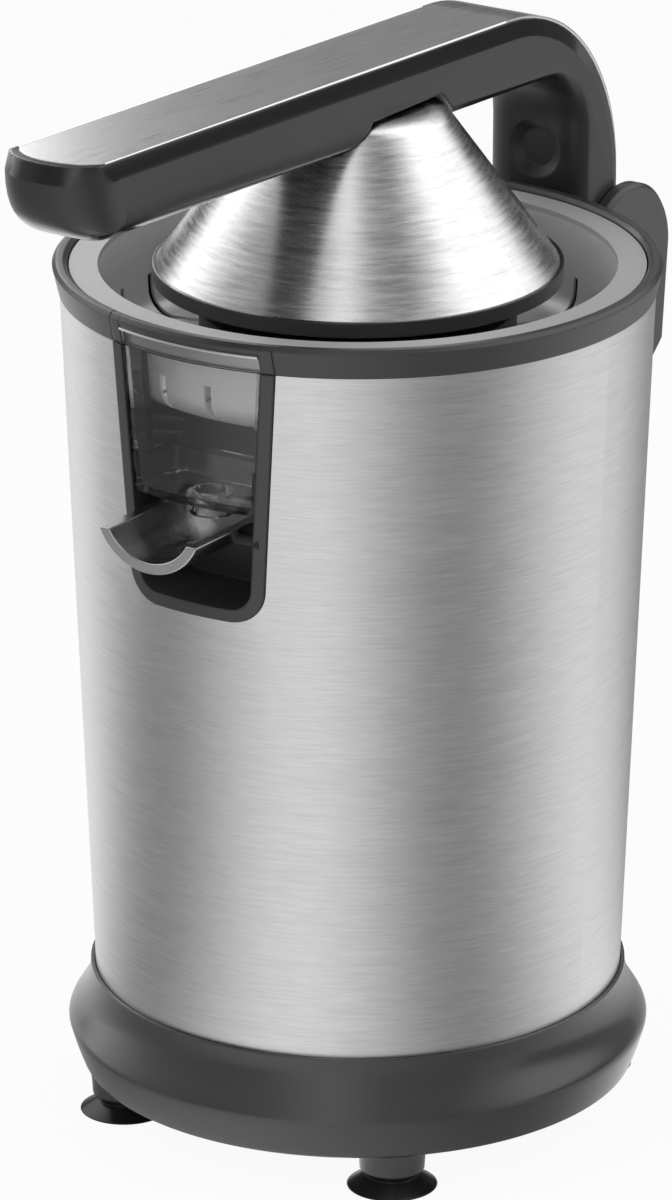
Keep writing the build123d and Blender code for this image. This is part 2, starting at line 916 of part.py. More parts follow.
def idler_axle():
    """The idler's fixed axle, from the gear plate to the deck, with a shoulder under the wheel."""
    axle = rod(idler_axle_radius, gear_plate_low, deck_low, 0, idler_y())
    plate_top = gear_plate_low + gear_plate_thick
    return axle + rod(idler_axle_radius + bush_wall, plate_top, wheel_low - fit, 0, idler_y())


def motor_pinion():
    """The pinion on the motor's shaft."""
    low = wheel_low - motor_pinion_over
    gear = spur_gear(pinion_teeth, motor_module, low, wheel_thick + motor_pinion_over * 2, half_tooth_turn())
    return Pos(motor_x(), idler_y(), 0) * (gear - rod(motor_shaft_radius, 0, rim_height))


def motor_shaft():
    """The motor's shaft, from the can's lower bush to the pinion's top."""
    high = wheel_low + wheel_thick + motor_pinion_over
    return rod(motor_shaft_radius, motor_low, high, motor_x(), idler_y())


def armature():
    """The wound core on the motor's shaft."""
    low = motor_low + motor_wall + armature_gap
    high = gear_plate_low - motor_wall - armature_gap
    return Pos(motor_x(), idler_y(), 0) * ring(armature_radius, motor_shaft_radius, low, high)


def motor_can():
    """The motor's closed can, with a neck that centres it in the gear plate."""
    bore = motor_shaft_radius + shaft_play
    inner = motor_radius - motor_wall
    can = turned(
        (bore, motor_low),
        (motor_radius, motor_low),
        (motor_radius, gear_plate_low),
        (motor_neck_radius, gear_plate_low),
        (motor_neck_radius, gear_plate_low + motor_neck_height),
        (bore, gear_plate_low + motor_neck_height),
        (bore, gear_plate_low - motor_wall),
        (inner, gear_plate_low - motor_wall),
        (inner, motor_low + motor_wall),
        (bore, motor_low + motor_wall),
    )
    can = Pos(motor_x(), idler_y(), 0) * can
    for x, y in motor_screw_places():
        can = can - rod(screw_radius + shaft_play, gear_plate_low - motor_screw_length, gear_plate_low, x, y)
    return can


def motor_screw_places():
    """Two screws beside the motor's neck, clear of the gears."""
    return [(motor_x() + side * motor_screw_reach, idler_y()) for side in (-1, 1)]


def motor_screws():
    """Two screws down through the gear plate into the motor's can."""
    top = gear_plate_low + gear_plate_thick
    screws = []
    for x, y in motor_screw_places():
        head = rod(screw_head_radius, top, top + screw_head_height, x, y)
        screws.append(head + rod(screw_radius, top - motor_screw_length, top, x, y))
    return screws


def gear_plate():
    """The plate under the gears: it carries the motor, the idler's axle, the hub's bush and the pillars."""
    low = gear_plate_low
    high = gear_plate_low + gear_plate_thick
    reach = pillar_radius + gear_plate_margin
    plate = rod(motor_radius, low, high, motor_x(), idler_y())
    plate = plate + rod(plate_boss_radius + gear_plate_margin, low, high)
    plate = plate + rod(plate_boss_radius, low, high, 0, idler_y())
    strut = block(0, pillar_circle(), -reach / 2, reach / 2, low, high)
    strut = strut + rod(reach / 2, low, high, pillar_circle())
    for angle in pillar_angles:
        plate = plate + Rot(0, 0, angle) * strut
    plate = plate + block(0, motor_x(), 0, idler_y() + plate_boss_radius, low, high)
    plate = plate + rod(plate_boss_radius, low, plate_boss_top)
    plate = plate - rod(bush_radius, low - overrun, plate_boss_top + overrun)
    plate = plate - rod(motor_neck_radius + fit, low - overrun, high + overrun, motor_x(), idler_y())
    plate = plate - rod(idler_axle_radius, low - overrun, high + overrun, 0, idler_y())
    for x, y in motor_screw_places():
        plate = plate - rod(screw_radius + shaft_play, low - overrun, high + overrun, x, y)
    return plate


def plate_bush():
    """The flanged bush that the hub's lower end runs in."""
    inner = hub_radius + shaft_play
    bush = ring(bush_radius, inner, gear_plate_low, plate_boss_top)
    flange = bush_radius + bush_flange_wall
    return bush + ring(flange, inner, plate_boss_top, plate_boss_top + bush_flange_thick)


def deck_bush():
    """The bush that the hub's upper end runs in."""
    return ring(bush_radius, hub_radius + shaft_play, deck_boss_low, deck_low + deck_thick)


def pillar_circle():
    """Radius of the circle of pillars, clear of the large gear."""
    return drive_teeth * drive_module / 2 + pillar_radius + pillar_gap


def gearbox_pillars():
    """The pillars that hang the gear plate from the deck."""
    pillar = rod(pillar_radius, gear_plate_low + gear_plate_thick, deck_low, pillar_circle())
    return [Rot(0, 0, angle) * pillar for angle in pillar_angles]


def chassis_deck():
    """The deck over the gears, with its bush boss and four posts down to the base plate."""
    high = deck_low + deck_thick
    deck = rod(sleeve_radius(deck_low) - sleeve_wall - fit, deck_low, high)
    half = opening_half(high) + fit
    deck = deck - block(-half, half, -rim_top_radius, -niche_back + fit, deck_low - overrun, high + overrun)
    deck = deck + rod(bush_radius + deck_boss_wall, deck_boss_low, high)
    deck = deck - rod(bush_radius, deck_boss_low - overrun, high + overrun)
    foot = base_bottom + plate_thick
    for x, y in post_places():
        deck = deck + rod(post_radius, foot, deck_low, x, y)
        deck = deck - rod(screw_radius + shaft_play, foot, base_bottom + screw_length + fit, x, y)
    return deck


def shaft_seal():
    """The rubber seal on the deck, round the hub."""
    high = deck_low + deck_thick
    return ring(hub_radius + seal_wall, hub_radius + shaft_play, high, high + seal_thick)


def start_switch():
    """The switch under the gear plate, bored for its plunger."""
    half = switch_length / 2
    side = switch_width / 2
    body = block(-half, half, -side, side, gear_plate_low - switch_height, gear_plate_low)
    top = spindle_low - plunger_gap
    well = rod(plunger_radius + shaft_play, top - plunger_length - plunger_stroke, gear_plate_low + overrun)
    return body - well


def switch_plunger():
    """The plunger that the spindle's end pushes down."""
    top = spindle_low - plunger_gap
    return rod(plunger_radius, top - plunger_length, top)


# Hinge
def hinge_y():
    """The hinge axis lies in the middle of the post."""
    return (post_front + post_back) / 2


def knuckle_radius():
    """Radius of the round end of the post."""
    return (post_back - post_front) / 2


def bracket_screw_places():
    """The screws that hold the bracket, as (x, z) places."""
    heights = [rim_height - drop for drop in bracket_screw_drops]
    return [(x, z) for x in (-bracket_screw_x, bracket_screw_x) for z in heights]


def bracket_bore(x, z, radius):
    """A bore along Y through the back of the sleeve into the bracket."""
    start = sleeve_radius(z) - sleeve_wall - overrun
    base = (Align.CENTER, Align.CENTER, Align.MIN)
    bore = Cylinder(radius, overrun + sleeve_wall + bracket_screw_bite, align=base)
    return Pos(x, start, z) * Rot(-90, 0, 0) * bore


def bracket_screws():
    """Four screws from inside the sleeve into the bracket."""
    screws = []
    base = (Align.CENTER, Align.CENTER, Align.MIN)
    top = (Align.CENTER, Align.CENTER, Align.MAX)
    head = Cylinder(screw_head_radius, screw_head_height, align=top)
    for x, z in bracket_screw_places():
        start = math.sqrt((sleeve_radius(z) - sleeve_wall) ** 2 - (abs(x) + screw_head_radius) ** 2)
        shank = sleeve_radius(z) + bracket_screw_bite - bracket_screw_room - start
        body = Cylinder(screw_radius, shank, align=base) + head
        screws.append(Pos(x, start - fit, z) * Rot(-90, 0, 0) * body)
    return screws


def hinge_bracket():
    """Two ears on a spine that tapers into the back of the sleeve."""
    half = ear_inner + ear_thick
    body_back = sleeve_radius(spine_low) - overrun
    ear_side = ear_y + ear_radius
    heel = (spine_back, spine_back_height)
    toe = (body_back, spine_low)
    belly = (
        body_back + (spine_back - body_back) * spine_belly_share,
        spine_back_height + (spine_low - spine_back_height) * spine_belly_share,
    )
    outline = make_face([
        Line(toe, (body_back, ear_z)),
        Line((body_back, ear_z), (ear_y - ear_radius, ear_z)),
        ThreePointArc((ear_y - ear_radius, ear_z), (ear_y, ear_z + ear_radius), (ear_side, ear_z)),
        Line((ear_side, ear_z), heel),
        ThreePointArc(heel, belly, toe),
    ])
    bracket = sideways(outline, half)
    rims = bracket.edges().group_by(Axis.X)
    outer = [edge for edge in rims[0] + rims[-1] if edge.center().Y > sleeve_head_radius]
    bracket = chamfer(outer, ear_edge)
    floor = hinge_height - knuckle_radius() - slot_floor_gap
    bracket = bracket - block(-ear_inner, ear_inner, 0, ear_side + overrun, floor, rim_top + overrun)
    bracket = bracket - sleeve_cone(fit, spine_low - overrun, rim_height)
    end = ear_inner + pin_grip + fit
    bracket = bracket - cross_rod(pin_radius + shaft_play, -end, end, hinge_y(), hinge_height)
    for x, z in bracket_screw_places():
        bracket = bracket - bracket_bore(x, z, screw_radius + shaft_play)
    return bracket


def hinge_pin():
    """The pin through the post's knuckle, held blind in both ears."""
    end = ear_inner + pin_grip
    return cross_rod(pin_radius, -end, end, hinge_y(), hinge_height)


# Lever
def arm_top(y):
    """Height of the arm's top line at y, before the bend."""
    return pivot_height + arm_cover - y * arm_lean


def top_line(inset, low):
    """The arm's top line from the tip over the bend to height low on the post's back, moved in by inset."""
    slope = math.radians(arm_slope)
    radius = arm_bend_radius - inset
    centre = Vector(post_back - arm_bend_radius, arm_bend_height)
    start = Vector(-arm_tip, arm_top(-arm_tip) - inset / math.cos(slope))
    bend = centre + Vector(math.sin(slope), math.cos(slope)) * radius
    middle_angle = math.radians(45) + slope / 2
    middle = centre + Vector(math.sin(middle_angle), math.cos(middle_angle)) * radius
    end = centre + Vector(radius, 0)
    return [Line(start, bend), ThreePointArc(bend, middle, end), Line(end, Vector(end.X, low))]


def arm_side():
    """Side outline of the arm and its post, without the knuckle."""
    under_drop = arm_thick * math.hypot(1, arm_lean)
    corner = (post_front, arm_top(post_front) - under_drop)
    chin_y = -arm_tip + arm_nose_run
    chin = (chin_y, arm_top(chin_y) - under_drop)
    brow = (-arm_tip, arm_top(-arm_tip) - arm_nose_top)
    tip = (-arm_tip, arm_top(-arm_tip))
    low = hinge_height
    face = make_face(top_line(0, low) + [
        Line((post_back, low), (post_front, low)),
        Line((post_front, low), corner),
        Line(corner, chin),
        TangentArc(chin, brow, tangent=(-1, arm_lean)),
        Line(brow, tip),
    ])
    inner = face.vertices().sort_by_distance(Vertex(*corner))[:1]
    return fillet(inner, arm_inner_bend)


def plan_outline(inset):
    """The arm seen from above, with its bowed tip, drawn in by inset."""
    half = arm_half - inset
    back = post_back + overrun
    corner = -arm_tip_corner + inset
    face = make_face([
        ThreePointArc((-half, corner), (0, -arm_tip + inset), (half, corner)),
        Line((half, corner), (half, back)),
        Line((half, back), (-half, back)),
        Line((-half, back), (-half, corner)),
    ])
    corners = face.vertices().sort_by(Axis.Y)[:2]
    return fillet(corners, arm_tip_round - inset)


def top_band(depth, half_inset, low, play_out=0):
    """A band of the arm's top, depth thick, from the tip to height low on the post's back."""
    outer = top_line(0, low)
    inner = top_line(depth, low)
    first = Line(inner[0] @ 0, outer[0] @ 0)
    last = Line(outer[2] @ 1, inner[2] @ 1)
    band = sideways(make_face(outer + [last] + inner + [first]), arm_half)
    plan = extrude(plan_outline(half_inset - play_out), arm_top(-arm_tip) + overrun)
    return band & plan


def press_pocket():
    """The room in the arm's underside for the top of the press cone."""
    slope = press_slope()
    side = press_radius + pocket_gap * math.hypot(1, slope)
    low = arm_top(0) - arm_thick - overrun
    high = press_high + pocket_gap
    base = (Align.CENTER, Align.CENTER, Align.MIN)
    wide = side - (low - press_low) * slope
    narrow = side - (high - press_low) * slope
    return Pos(0, 0, low) * Cone(wide, narrow, high - low, align=base)


def lever_arm():
    """The arm, its post and knuckle, with the seats of the plate, the plug and the press."""
    arm = sideways(arm_side(), arm_half) & extrude(plan_outline(0), arm_top(-arm_tip) + overrun)
    wall = arm.faces().sort_by(Axis.X)[-1]
    crown = [edge for edge in wall.edges() if is_crown(edge)]
    arm = chamfer(crown, bevel_drop, bevel_in, reference=wall)
    wall = arm.faces().sort_by(Axis.X)[-1]
    belly = [edge for edge in wall.edges() if is_belly(edge)]
    arm = fillet(belly, belly_round)
    arm = arm + cross_rod(knuckle_radius(), -arm_half, arm_half, hinge_y(), hinge_height)
    arm = arm - top_band(top_plate_thick, bevel_in + fit, top_plate_low - top_plate_play, top_plate_play)
    reach = arm_half + overrun
    arm = arm - cross_rod(pin_radius + shaft_play, -reach, reach, hinge_y(), hinge_height)
    return arm - dish_cut() - press_pocket() - lug_room() - press_pin_bore()


def is_belly(edge):
    """Tells the straight underside edge of the arm's side."""
    middle = edge @ 0.5
    low = arm_top(middle.Y) - arm_thick * math.hypot(1, arm_lean)
    return abs(middle.Z - low) < fit and middle.Y > -arm_tip + arm_nose_run


def is_crown(edge):
    """Tells the arm's top, outer bend and post back edges."""
    middle = edge @ 0.5
    bend_y = post_back - arm_bend_radius
    on_top = middle.Y < bend_y and abs(middle.Z - arm_top(middle.Y)) < fit
    reach = math.hypot(middle.Y - bend_y, middle.Z - arm_bend_height)
    on_bend = middle.Y > bend_y and middle.Z > arm_bend_height and abs(reach - arm_bend_radius) < fit
    on_back = abs(middle.Y - post_back) < fit
    return on_top or on_bend or on_back


def dish_cut():
    """The dished recess in the post's inner face, with the plug's hole in its middle."""
    base = (Align.CENTER, Align.CENTER, Align.MIN)
    dish = Cone(dish_radius, plug_radius, dish_depth, align=base)
    hole = Cylinder(plug_radius, dish_depth + plug_depth, align=base)
    return Pos(0, post_front, dish_height) * Rot(-90, 0, 0) * (dish + hole)


def arm_plug():
    """The round plug in the middle of the dish."""
    base = (Align.CENTER, Align.CENTER, Align.MIN)
    plug = Cylinder(plug_radius - shaft_play, plug_depth - plug_sink, align=base)
    return Pos(0, post_front + dish_depth + plug_sink, dish_height) * Rot(-90, 0, 0) * plug


def arm_top_plate():
    """The steel plate inlaid in the arm's top, over the bend and down the post's back."""
    return top_band(top_plate_thick, bevel_in + fit, top_plate_low)


# Press
def lug_room():
    """The slot in the arm that the press lug tilts in."""
    half = lug_half + lug_side_gap
    reach = lug_radius + lug_gap
    slot = block(-half, half, -reach, reach, press_low, pivot_height)
    foot = rod(lug_foot_radius + lug_gap, press_low, press_high + lug_foot_thick + lug_gap)
    return slot + cross_rod(reach, -half, half, 0, pivot_height) + foot


def press_pin_end():
    """How far the press pin reaches to each side."""
    return lug_half + lug_side_gap + press_pin_grip


def press_pin_bore():
    """The blind bore for the press pin across the arm."""
    end = press_pin_end() + fit
    return cross_rod(press_pin_radius + shaft_play, -end, end, 0, pivot_height)


def press_pin():
    """The pin that the press tilts on."""
    end = press_pin_end()
    return cross_rod(press_pin_radius, -end, end, 0, pivot_height)


def press_slope():
    """Radius lost for each unit of height along the press cone."""
    return (press_radius - press_head_radius) / (press_high - press_low)


def press_section(inset, low):
    """The press cone's outline drawn in by inset, from the axis out, as (radius, height) points."""
    slope = press_slope()
    top = press_high - inset
    side = press_radius - inset * math.hypot(1, slope)
    return (0, top), (side - (top - press_low) * slope, top), (side - (low - press_low) * slope, low)


def press_shell(inset, thick, low):
    """A conical shell with a rounded crown, drawn in by inset from the press cone's outside."""
    outer = press_section(inset, low)
    inner = press_section(inset + thick, low)
    face = make_face(Polyline(*outer, *reversed(inner), close=True))
    for section, round_in in ((outer, inset), (inner, inset + thick)):
        corner = face.vertices().sort_by_distance(Vertex(*section[1]))[:1]
        face = fillet(corner, press_crown_round - round_in)
    return revolve(Plane.XZ * face, Axis.Z)


def press_cone():
    """The sheet-steel cone of the press, with a hole for the lug's stem."""
    return press_shell(0, press_sheet, press_low) - rod(lug_stem_radius, press_low, press_high + overrun)


def press_ring():
    """The dark ring under the cone's edge, with a lip inside the cone."""
    slope = press_slope()
    lip_radius = press_radius - press_sheet * math.hypot(1, slope) - fit
    lip_top = press_low + liner_wall
    return turned(
        (press_ring_inner, press_ring_low),
        (press_ring_radius, press_ring_low),
        (press_ring_radius, press_low),
        (lip_radius, press_low),
        (lip_radius - liner_wall * slope, lip_top),
        (press_ring_inner, lip_top),
    )


def press_liner():
    """The ribbed cup inside the cone that holds the fruit, on the lug's stem."""
    low = press_low + liner_wall + fit
    inset = press_sheet + liner_gap
    cup = press_shell(inset, liner_wall, low)
    crest = press_section(inset + liner_wall + liner_rib_rise, low)
    root = press_section(inset + liner_wall / 2, low)
    rib_top = press_high - press_crown_round
    rib_face = make_face(Polyline(root[1], root[2], crest[2], crest[1], close=True))
    rib = extrude(Plane.XZ * rib_face, liner_rib_thick / 2, both=True)
    rib = rib & block(0, press_radius, -press_radius, press_radius, low, rib_top)
    cup = cup + around(liner_rib_count, rib)
    return cup - rod(lug_stem_radius, press_low, press_high + overrun)


def press_lug():
    """The lug on the cone's crown, with its stem through the cone and the liner."""
    stem_low = press_high - press_sheet - liner_gap - liner_wall
    stem = rod(lug_stem_radius, stem_low, press_high)
    foot = rod(lug_foot_radius, press_high, press_high + lug_foot_thick)
    tongue = block(-lug_half, lug_half, -lug_radius, lug_radius, press_high, pivot_height)
    head = cross_rod(lug_radius, -lug_half, lug_half, 0, pivot_height)
    bore = cross_rod(press_pin_radius + shaft_play, -lug_half - overrun, lug_half + overrun, 0, pivot_height)
    return stem + foot + tongue + head - bore


# Files
def main():
    """Builds every piece and writes it to a file of its own."""
    pieces = {
        "base_housing": base_housing(),
        "base_plate": base_plate(),
        "base_screws": base_screws(),
        "cord_gland": cord_gland(),
        "steel_sleeve": steel_sleeve(),
        "top_rim": top_rim(),
        "collector_lip": collector_lip(),
        "juice_collector": juice_collector(),
        "spout_surround": spout_surround(),
        "spout_trough": spout_trough(),
        "strainer_bowl": strainer_bowl(),
        "strainer_dish": strainer_dish(),
        "reamer": reamer(),
        "reamer_skirt": reamer_skirt(),
        "drive_spindle": drive_spindle(),
        "return_spring": return_spring(),
        "drive_gear": drive_gear(),
        "idler_gear": idler_gear(),
        "idler_axle": idler_axle(),
        "motor_pinion": motor_pinion(),
        "motor_shaft": motor_shaft(),
        "armature": armature(),
        "motor_can": motor_can(),
        "motor_screws": motor_screws(),
        "gear_plate": gear_plate(),
        "plate_bush": plate_bush(),
        "deck_bush": deck_bush(),
        "gearbox_pillars": gearbox_pillars(),
        "chassis_deck": chassis_deck(),
        "shaft_seal": shaft_seal(),
        "start_switch": start_switch(),
        "switch_plunger": switch_plunger(),
        "hinge_bracket": hinge_bracket(),
        "bracket_screws": bracket_screws(),
        "hinge_pin": hinge_pin(),
        "lever_arm": lever_arm(),
        "arm_plug": arm_plug(),
        "arm_top_plate": arm_top_plate(),
        "press_pin": press_pin(),
        "press_cone": press_cone(),
        "press_ring": press_ring(),
        "press_liner": press_liner(),
        "press_lug": press_lug(),
    }
    for name, (x, y) in foot_places().items():
        pieces["foot_" + name] = suction_foot(x, y)
    os.makedirs("parts", exist_ok=True)
    for name, piece in pieces.items():
        solids = piece if isinstance(piece, list) else [piece]
        export_step(Compound(children=solids), "parts/" + name + ".step")


main()
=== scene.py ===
"""Electric citrus juicer with a press lever: finishes, the forms made here and a small studio."""
import math

import bmesh
import bpy
from bmesh.types import BMEdge, BMFace, BMVert
from bpy.props import FloatProperty, FloatVectorProperty, PointerProperty
from bpy.types import Operator, Panel, PropertyGroup
from mathutils import Matrix, Vector


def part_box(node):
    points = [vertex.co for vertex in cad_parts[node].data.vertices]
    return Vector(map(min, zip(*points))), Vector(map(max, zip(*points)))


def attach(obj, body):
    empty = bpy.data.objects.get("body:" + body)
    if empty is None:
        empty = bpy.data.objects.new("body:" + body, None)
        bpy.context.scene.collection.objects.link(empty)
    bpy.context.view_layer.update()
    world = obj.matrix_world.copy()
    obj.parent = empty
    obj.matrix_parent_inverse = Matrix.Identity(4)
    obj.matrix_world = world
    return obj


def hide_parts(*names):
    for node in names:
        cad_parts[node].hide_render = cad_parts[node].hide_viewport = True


bl_info = {
    "name": "Citrus Juicer Finishes",
    "version": (1, 0, 0),
    "blender": (4, 5, 0),
    "location": "View3D > Sidebar > Juicer",
    "description": "Finishes the packed citrus juicer and sets it in a small studio",
    "category": "Object",
}

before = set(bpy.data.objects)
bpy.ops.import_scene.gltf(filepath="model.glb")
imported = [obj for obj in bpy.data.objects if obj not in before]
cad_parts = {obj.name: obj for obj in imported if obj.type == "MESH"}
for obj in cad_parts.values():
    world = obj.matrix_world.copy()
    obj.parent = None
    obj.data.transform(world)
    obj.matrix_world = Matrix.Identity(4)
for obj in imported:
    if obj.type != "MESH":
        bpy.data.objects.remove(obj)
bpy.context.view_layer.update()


# Shader sheets
class Value:
    """A socket that joins in sums: each operator adds one Math node."""

    def __init__(self, sheet, socket):
        self.sheet = sheet
        self.socket = socket

    def __add__(self, other):
        return self.sheet.maths("ADD", self, other)

    def __sub__(self, other):
        return self.sheet.maths("SUBTRACT", self, other)

    def __rsub__(self, other):
        return self.sheet.maths("SUBTRACT", other, self)

    def __mul__(self, other):
        return self.sheet.maths("MULTIPLY", self, other)

    def __truediv__(self, other):
        return self.sheet.maths("DIVIDE", self, other)

    __radd__ = __add__
    __rmul__ = __mul__


class Sheet:
    """The node sheet of a material or a world."""

    def __init__(self, owner):
        self.owner = owner
        owner.use_nodes = True
        self.tree = owner.node_tree
        self.tree.nodes.clear()

    def node(self, kind, settings=None, sockets=None, out=0):
        """Adds a node, sets it up, feeds its sockets and returns one output."""
        made = self.tree.nodes.new(kind)
        for key, value in (settings or {}).items():
            setattr(made, key, value)
        for key, value in (sockets or {}).items():
            if isinstance(value, Value):
                self.tree.links.new(value.socket, made.inputs[key])
            else:
                made.inputs[key].default_value = value
        return Value(self, made.outputs[out]) if len(made.outputs) else None

    def maths(self, operation, first, second=0.0):
        """One sum of one or two values."""
        return self.node("ShaderNodeMath", {"operation": operation}, {0: first, 1: second})

    def place(self):
        """The piece's own coordinates as a vector."""
        return self.node("ShaderNodeTexCoord", out="Object")

    def stretched(self, across, along, up):
        """The piece's own coordinates, each times its own factor."""
        x, y, z = self.split(self.place())
        return self.node("ShaderNodeCombineXYZ", None, {0: x * across, 1: y * along, 2: z * up})

    def split(self, vector):
        """A vector's three values."""
        first = self.node("ShaderNodeSeparateXYZ", None, {0: vector})
        return [Value(self, socket) for socket in first.socket.node.outputs]

    def noise(self, vector, scale=1.0, detail=3.0, roughness=0.55):
        """Noise between 0 and 1."""
        feeds = {"Vector": vector, "Scale": scale, "Detail": detail, "Roughness": roughness}
        return self.node("ShaderNodeTexNoise", None, feeds)

    def ramp(self, value, *stops):
        """A value run through a grey ramp with (place, grey) stops."""
        made = self.node("ShaderNodeValToRGB", None, {0: value})
        elements = made.socket.node.color_ramp.elements
        while len(elements) < len(stops):
            elements.new(0.5)
        for element, (place, grey) in zip(elements, stops):
            element.position = place
            element.color = (grey, grey, grey, 1.0)
        return made

    def mix(self, factor, first, second):
        """A colour between two colours."""
        return self.node("ShaderNodeMix", {"data_type": "RGBA"}, {0: factor, 6: first, 7: second}, 2)

    def bump(self, height, strength, distance, normal=None):
        """A normal pushed about by a height."""
        feeds = {"Height": height, "Strength": strength, "Distance": distance}
        if normal:
            feeds["Normal"] = normal
        return self.node("ShaderNodeBump", None, feeds)

    def soft_edge(self, radius):
        """A normal that rounds the piece's edges."""
        return self.node("ShaderNodeBevel", {"samples": 6}, {"Radius": radius})

    def surface(self, **feeds):
        """The piece's surface shader, wired to the output."""
        names = {key: key.replace("_", " ").title().replace("Ior", "IOR") for key in feeds}
        sockets = {names[key]: value for key, value in feeds.items()}
        shader = self.node("ShaderNodeBsdfPrincipled", None, sockets)
        self.node("ShaderNodeOutputMaterial", None, {"Surface": shader})
        return self.owner


def new_sheet(name):
    """A sheet for a new material."""
    return Sheet(bpy.data.materials.new(name))


def shade(colour, factor):
    """A colour made darker or lighter."""
    return (colour[0] * factor, colour[1] * factor, colour[2] * factor, 1.0)


def dress(material, *names):
    """Gives the named nodes a material."""
    for name in names:
        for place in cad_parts[name].material_slots:
            place.material = material


# Settings
def length_setting(name, description, default):
    """A setting that holds a length."""
    return FloatProperty(name=name, description=description, unit="LENGTH", min=0.0, default=default)


def colour_setting(name, description, default):
    """A setting that holds a colour."""
    return FloatVectorProperty(
        name=name, description=description, subtype="COLOR", size=3, min=0.0, max=1.0, default=default)


def angle_setting(name, description, degrees):
    """A setting that holds an angle, whose default is given in degrees."""
    return FloatProperty(name=name, description=description, subtype="ANGLE", default=math.radians(degrees))


def power_setting(name, description, default):
    """A setting that holds a lamp's power."""
    return FloatProperty(name=name, description=description, unit="POWER", min=0.0, default=default)


class JuicerFinishes(PropertyGroup):
    """Colours and surfaces of the juicer."""

    steel: colour_setting("Steel", "Colour of the brushed steel", (0.64, 0.64, 0.635))
    steel_roughness: FloatProperty(
        name="Steel Roughness", description="How dull the brushed body is", subtype="FACTOR",
        min=0.0, max=1.0, default=0.34)
    press_steel: colour_setting("Press Steel", "Colour of the press cone", (0.74, 0.74, 0.735))
    dark_plastic: colour_setting(
        "Dark Plastic", "Colour of the rim, base, frame and bracket", (0.046, 0.046, 0.048))
    arm_plastic: colour_setting("Arm Plastic", "Colour of the glossy lever arm", (0.030, 0.030, 0.031))
    black_plastic: colour_setting(
        "Black Plastic", "Colour of the reamer, the base plate and the pins", (0.016, 0.016, 0.017))
    smoke: colour_setting("Smoke", "Tint of the clear collector", (0.90, 0.90, 0.90))
    edge: length_setting("Edge", "Radius of the rounded plastic edges", 0.0009)


class JuicerScrews(PropertyGroup):
    """Sizes of the base screws."""

    head_radius: length_setting("Head Radius", "Radius of a screw head", 0.0035)
    head_height: length_setting("Head Height", "Height of a screw head", 0.0018)
    shank_radius: length_setting("Shank Radius", "Radius of a screw's shank", 0.0017)
    recess: length_setting("Recess", "Reach of the cross recess", 0.0019)
    recess_depth: length_setting("Recess Depth", "Depth of the cross recess", 0.0012)


class JuicerBase(PropertyGroup):
    """Shape of the base ring and its bosses."""

    lip_radius: length_setting("Lip Radius", "Outer radius of the lip round the steel", 0.0812)
    wide_radius: length_setting("Widest Radius", "Radius of the ring at its widest", 0.0881)
    wide_height: length_setting("Widest Height", "Height of the widest place", 0.0258)
    foot_radius: length_setting("Foot Radius", "Radius of the ring's lower edge", 0.0841)
    foot_height: length_setting("Foot Height", "Height of the ring's lower edge", 0.0136)
    boss_radius: length_setting("Boss Radius", "Radius of a foot boss at its lower end", 0.0097)
    boss_flare: length_setting("Boss Flare", "How far a boss flares into the ring", 0.0015)


class JuicerLip(PropertyGroup):
    """Sizes of the lip over the window."""

    half_width: length_setting("Half Width", "Half the width between the frame's stiles", 0.0242)
    stile_width: length_setting("Stile Width", "Width of the stile heads", 0.0040)
    height: length_setting("Height", "Height of the lip", 0.0030)
    thickness: length_setting("Thickness", "Depth of the lip", 0.0044)
    pane: length_setting("Pane", "Thickness of the pane under the lip", 0.0020)
    # The bead is a bright steel strip under the lip: a painted highlight on the pane's edge.
    bead: length_setting("Bead", "Radius of the polished edge under the lip", 0.0005)


class JuicerTrough(PropertyGroup):
    """Sizes of the spout trough."""

    radius: length_setting("Radius", "Outer radius of the half pipe", 0.0187)
    wall: length_setting("Wall", "Width of the front edge", 0.0032)
    edge: length_setting("Edge", "Rounding of the edges", 0.0003)
    pin_radius: length_setting("Pin Radius", "Radius of the pivot pins", 0.0020)
    pin_back: length_setting("Pin Place", "How far the pins are behind the front", 0.0250)
    pin_drop: length_setting("Pin Drop", "How far the pins are under the top", 0.0046)


class JuicerArm(PropertyGroup):
    """Sizes of the lever arm."""

    tip: length_setting("Tip", "How far the arm's tip is in front of the axis", 0.1576)
    thickness: length_setting("Thickness", "Height of the bar at the tip", 0.0240)
    nose: length_setting("Nose", "Rounding under the tip", 0.0180)
    bend: length_setting("Bend", "Radius of the outer bend", 0.0600)
    inner_bend: length_setting("Inner Bend", "Radius of the inner bend", 0.0180)
    lean: angle_setting("Lean", "Slope of the bar", 1.86)
    bevel_drop: length_setting("Bevel Drop", "How far the bevel comes down the side", 0.0050)
    bevel_in: length_setting("Bevel Depth", "How far the bevel goes in from the side", 0.0022)
    belly: length_setting("Belly", "Rounding of the lower edges", 0.0100)
    bow: length_setting("Bow", "How far the sides of the nose draw back", 0.0140)


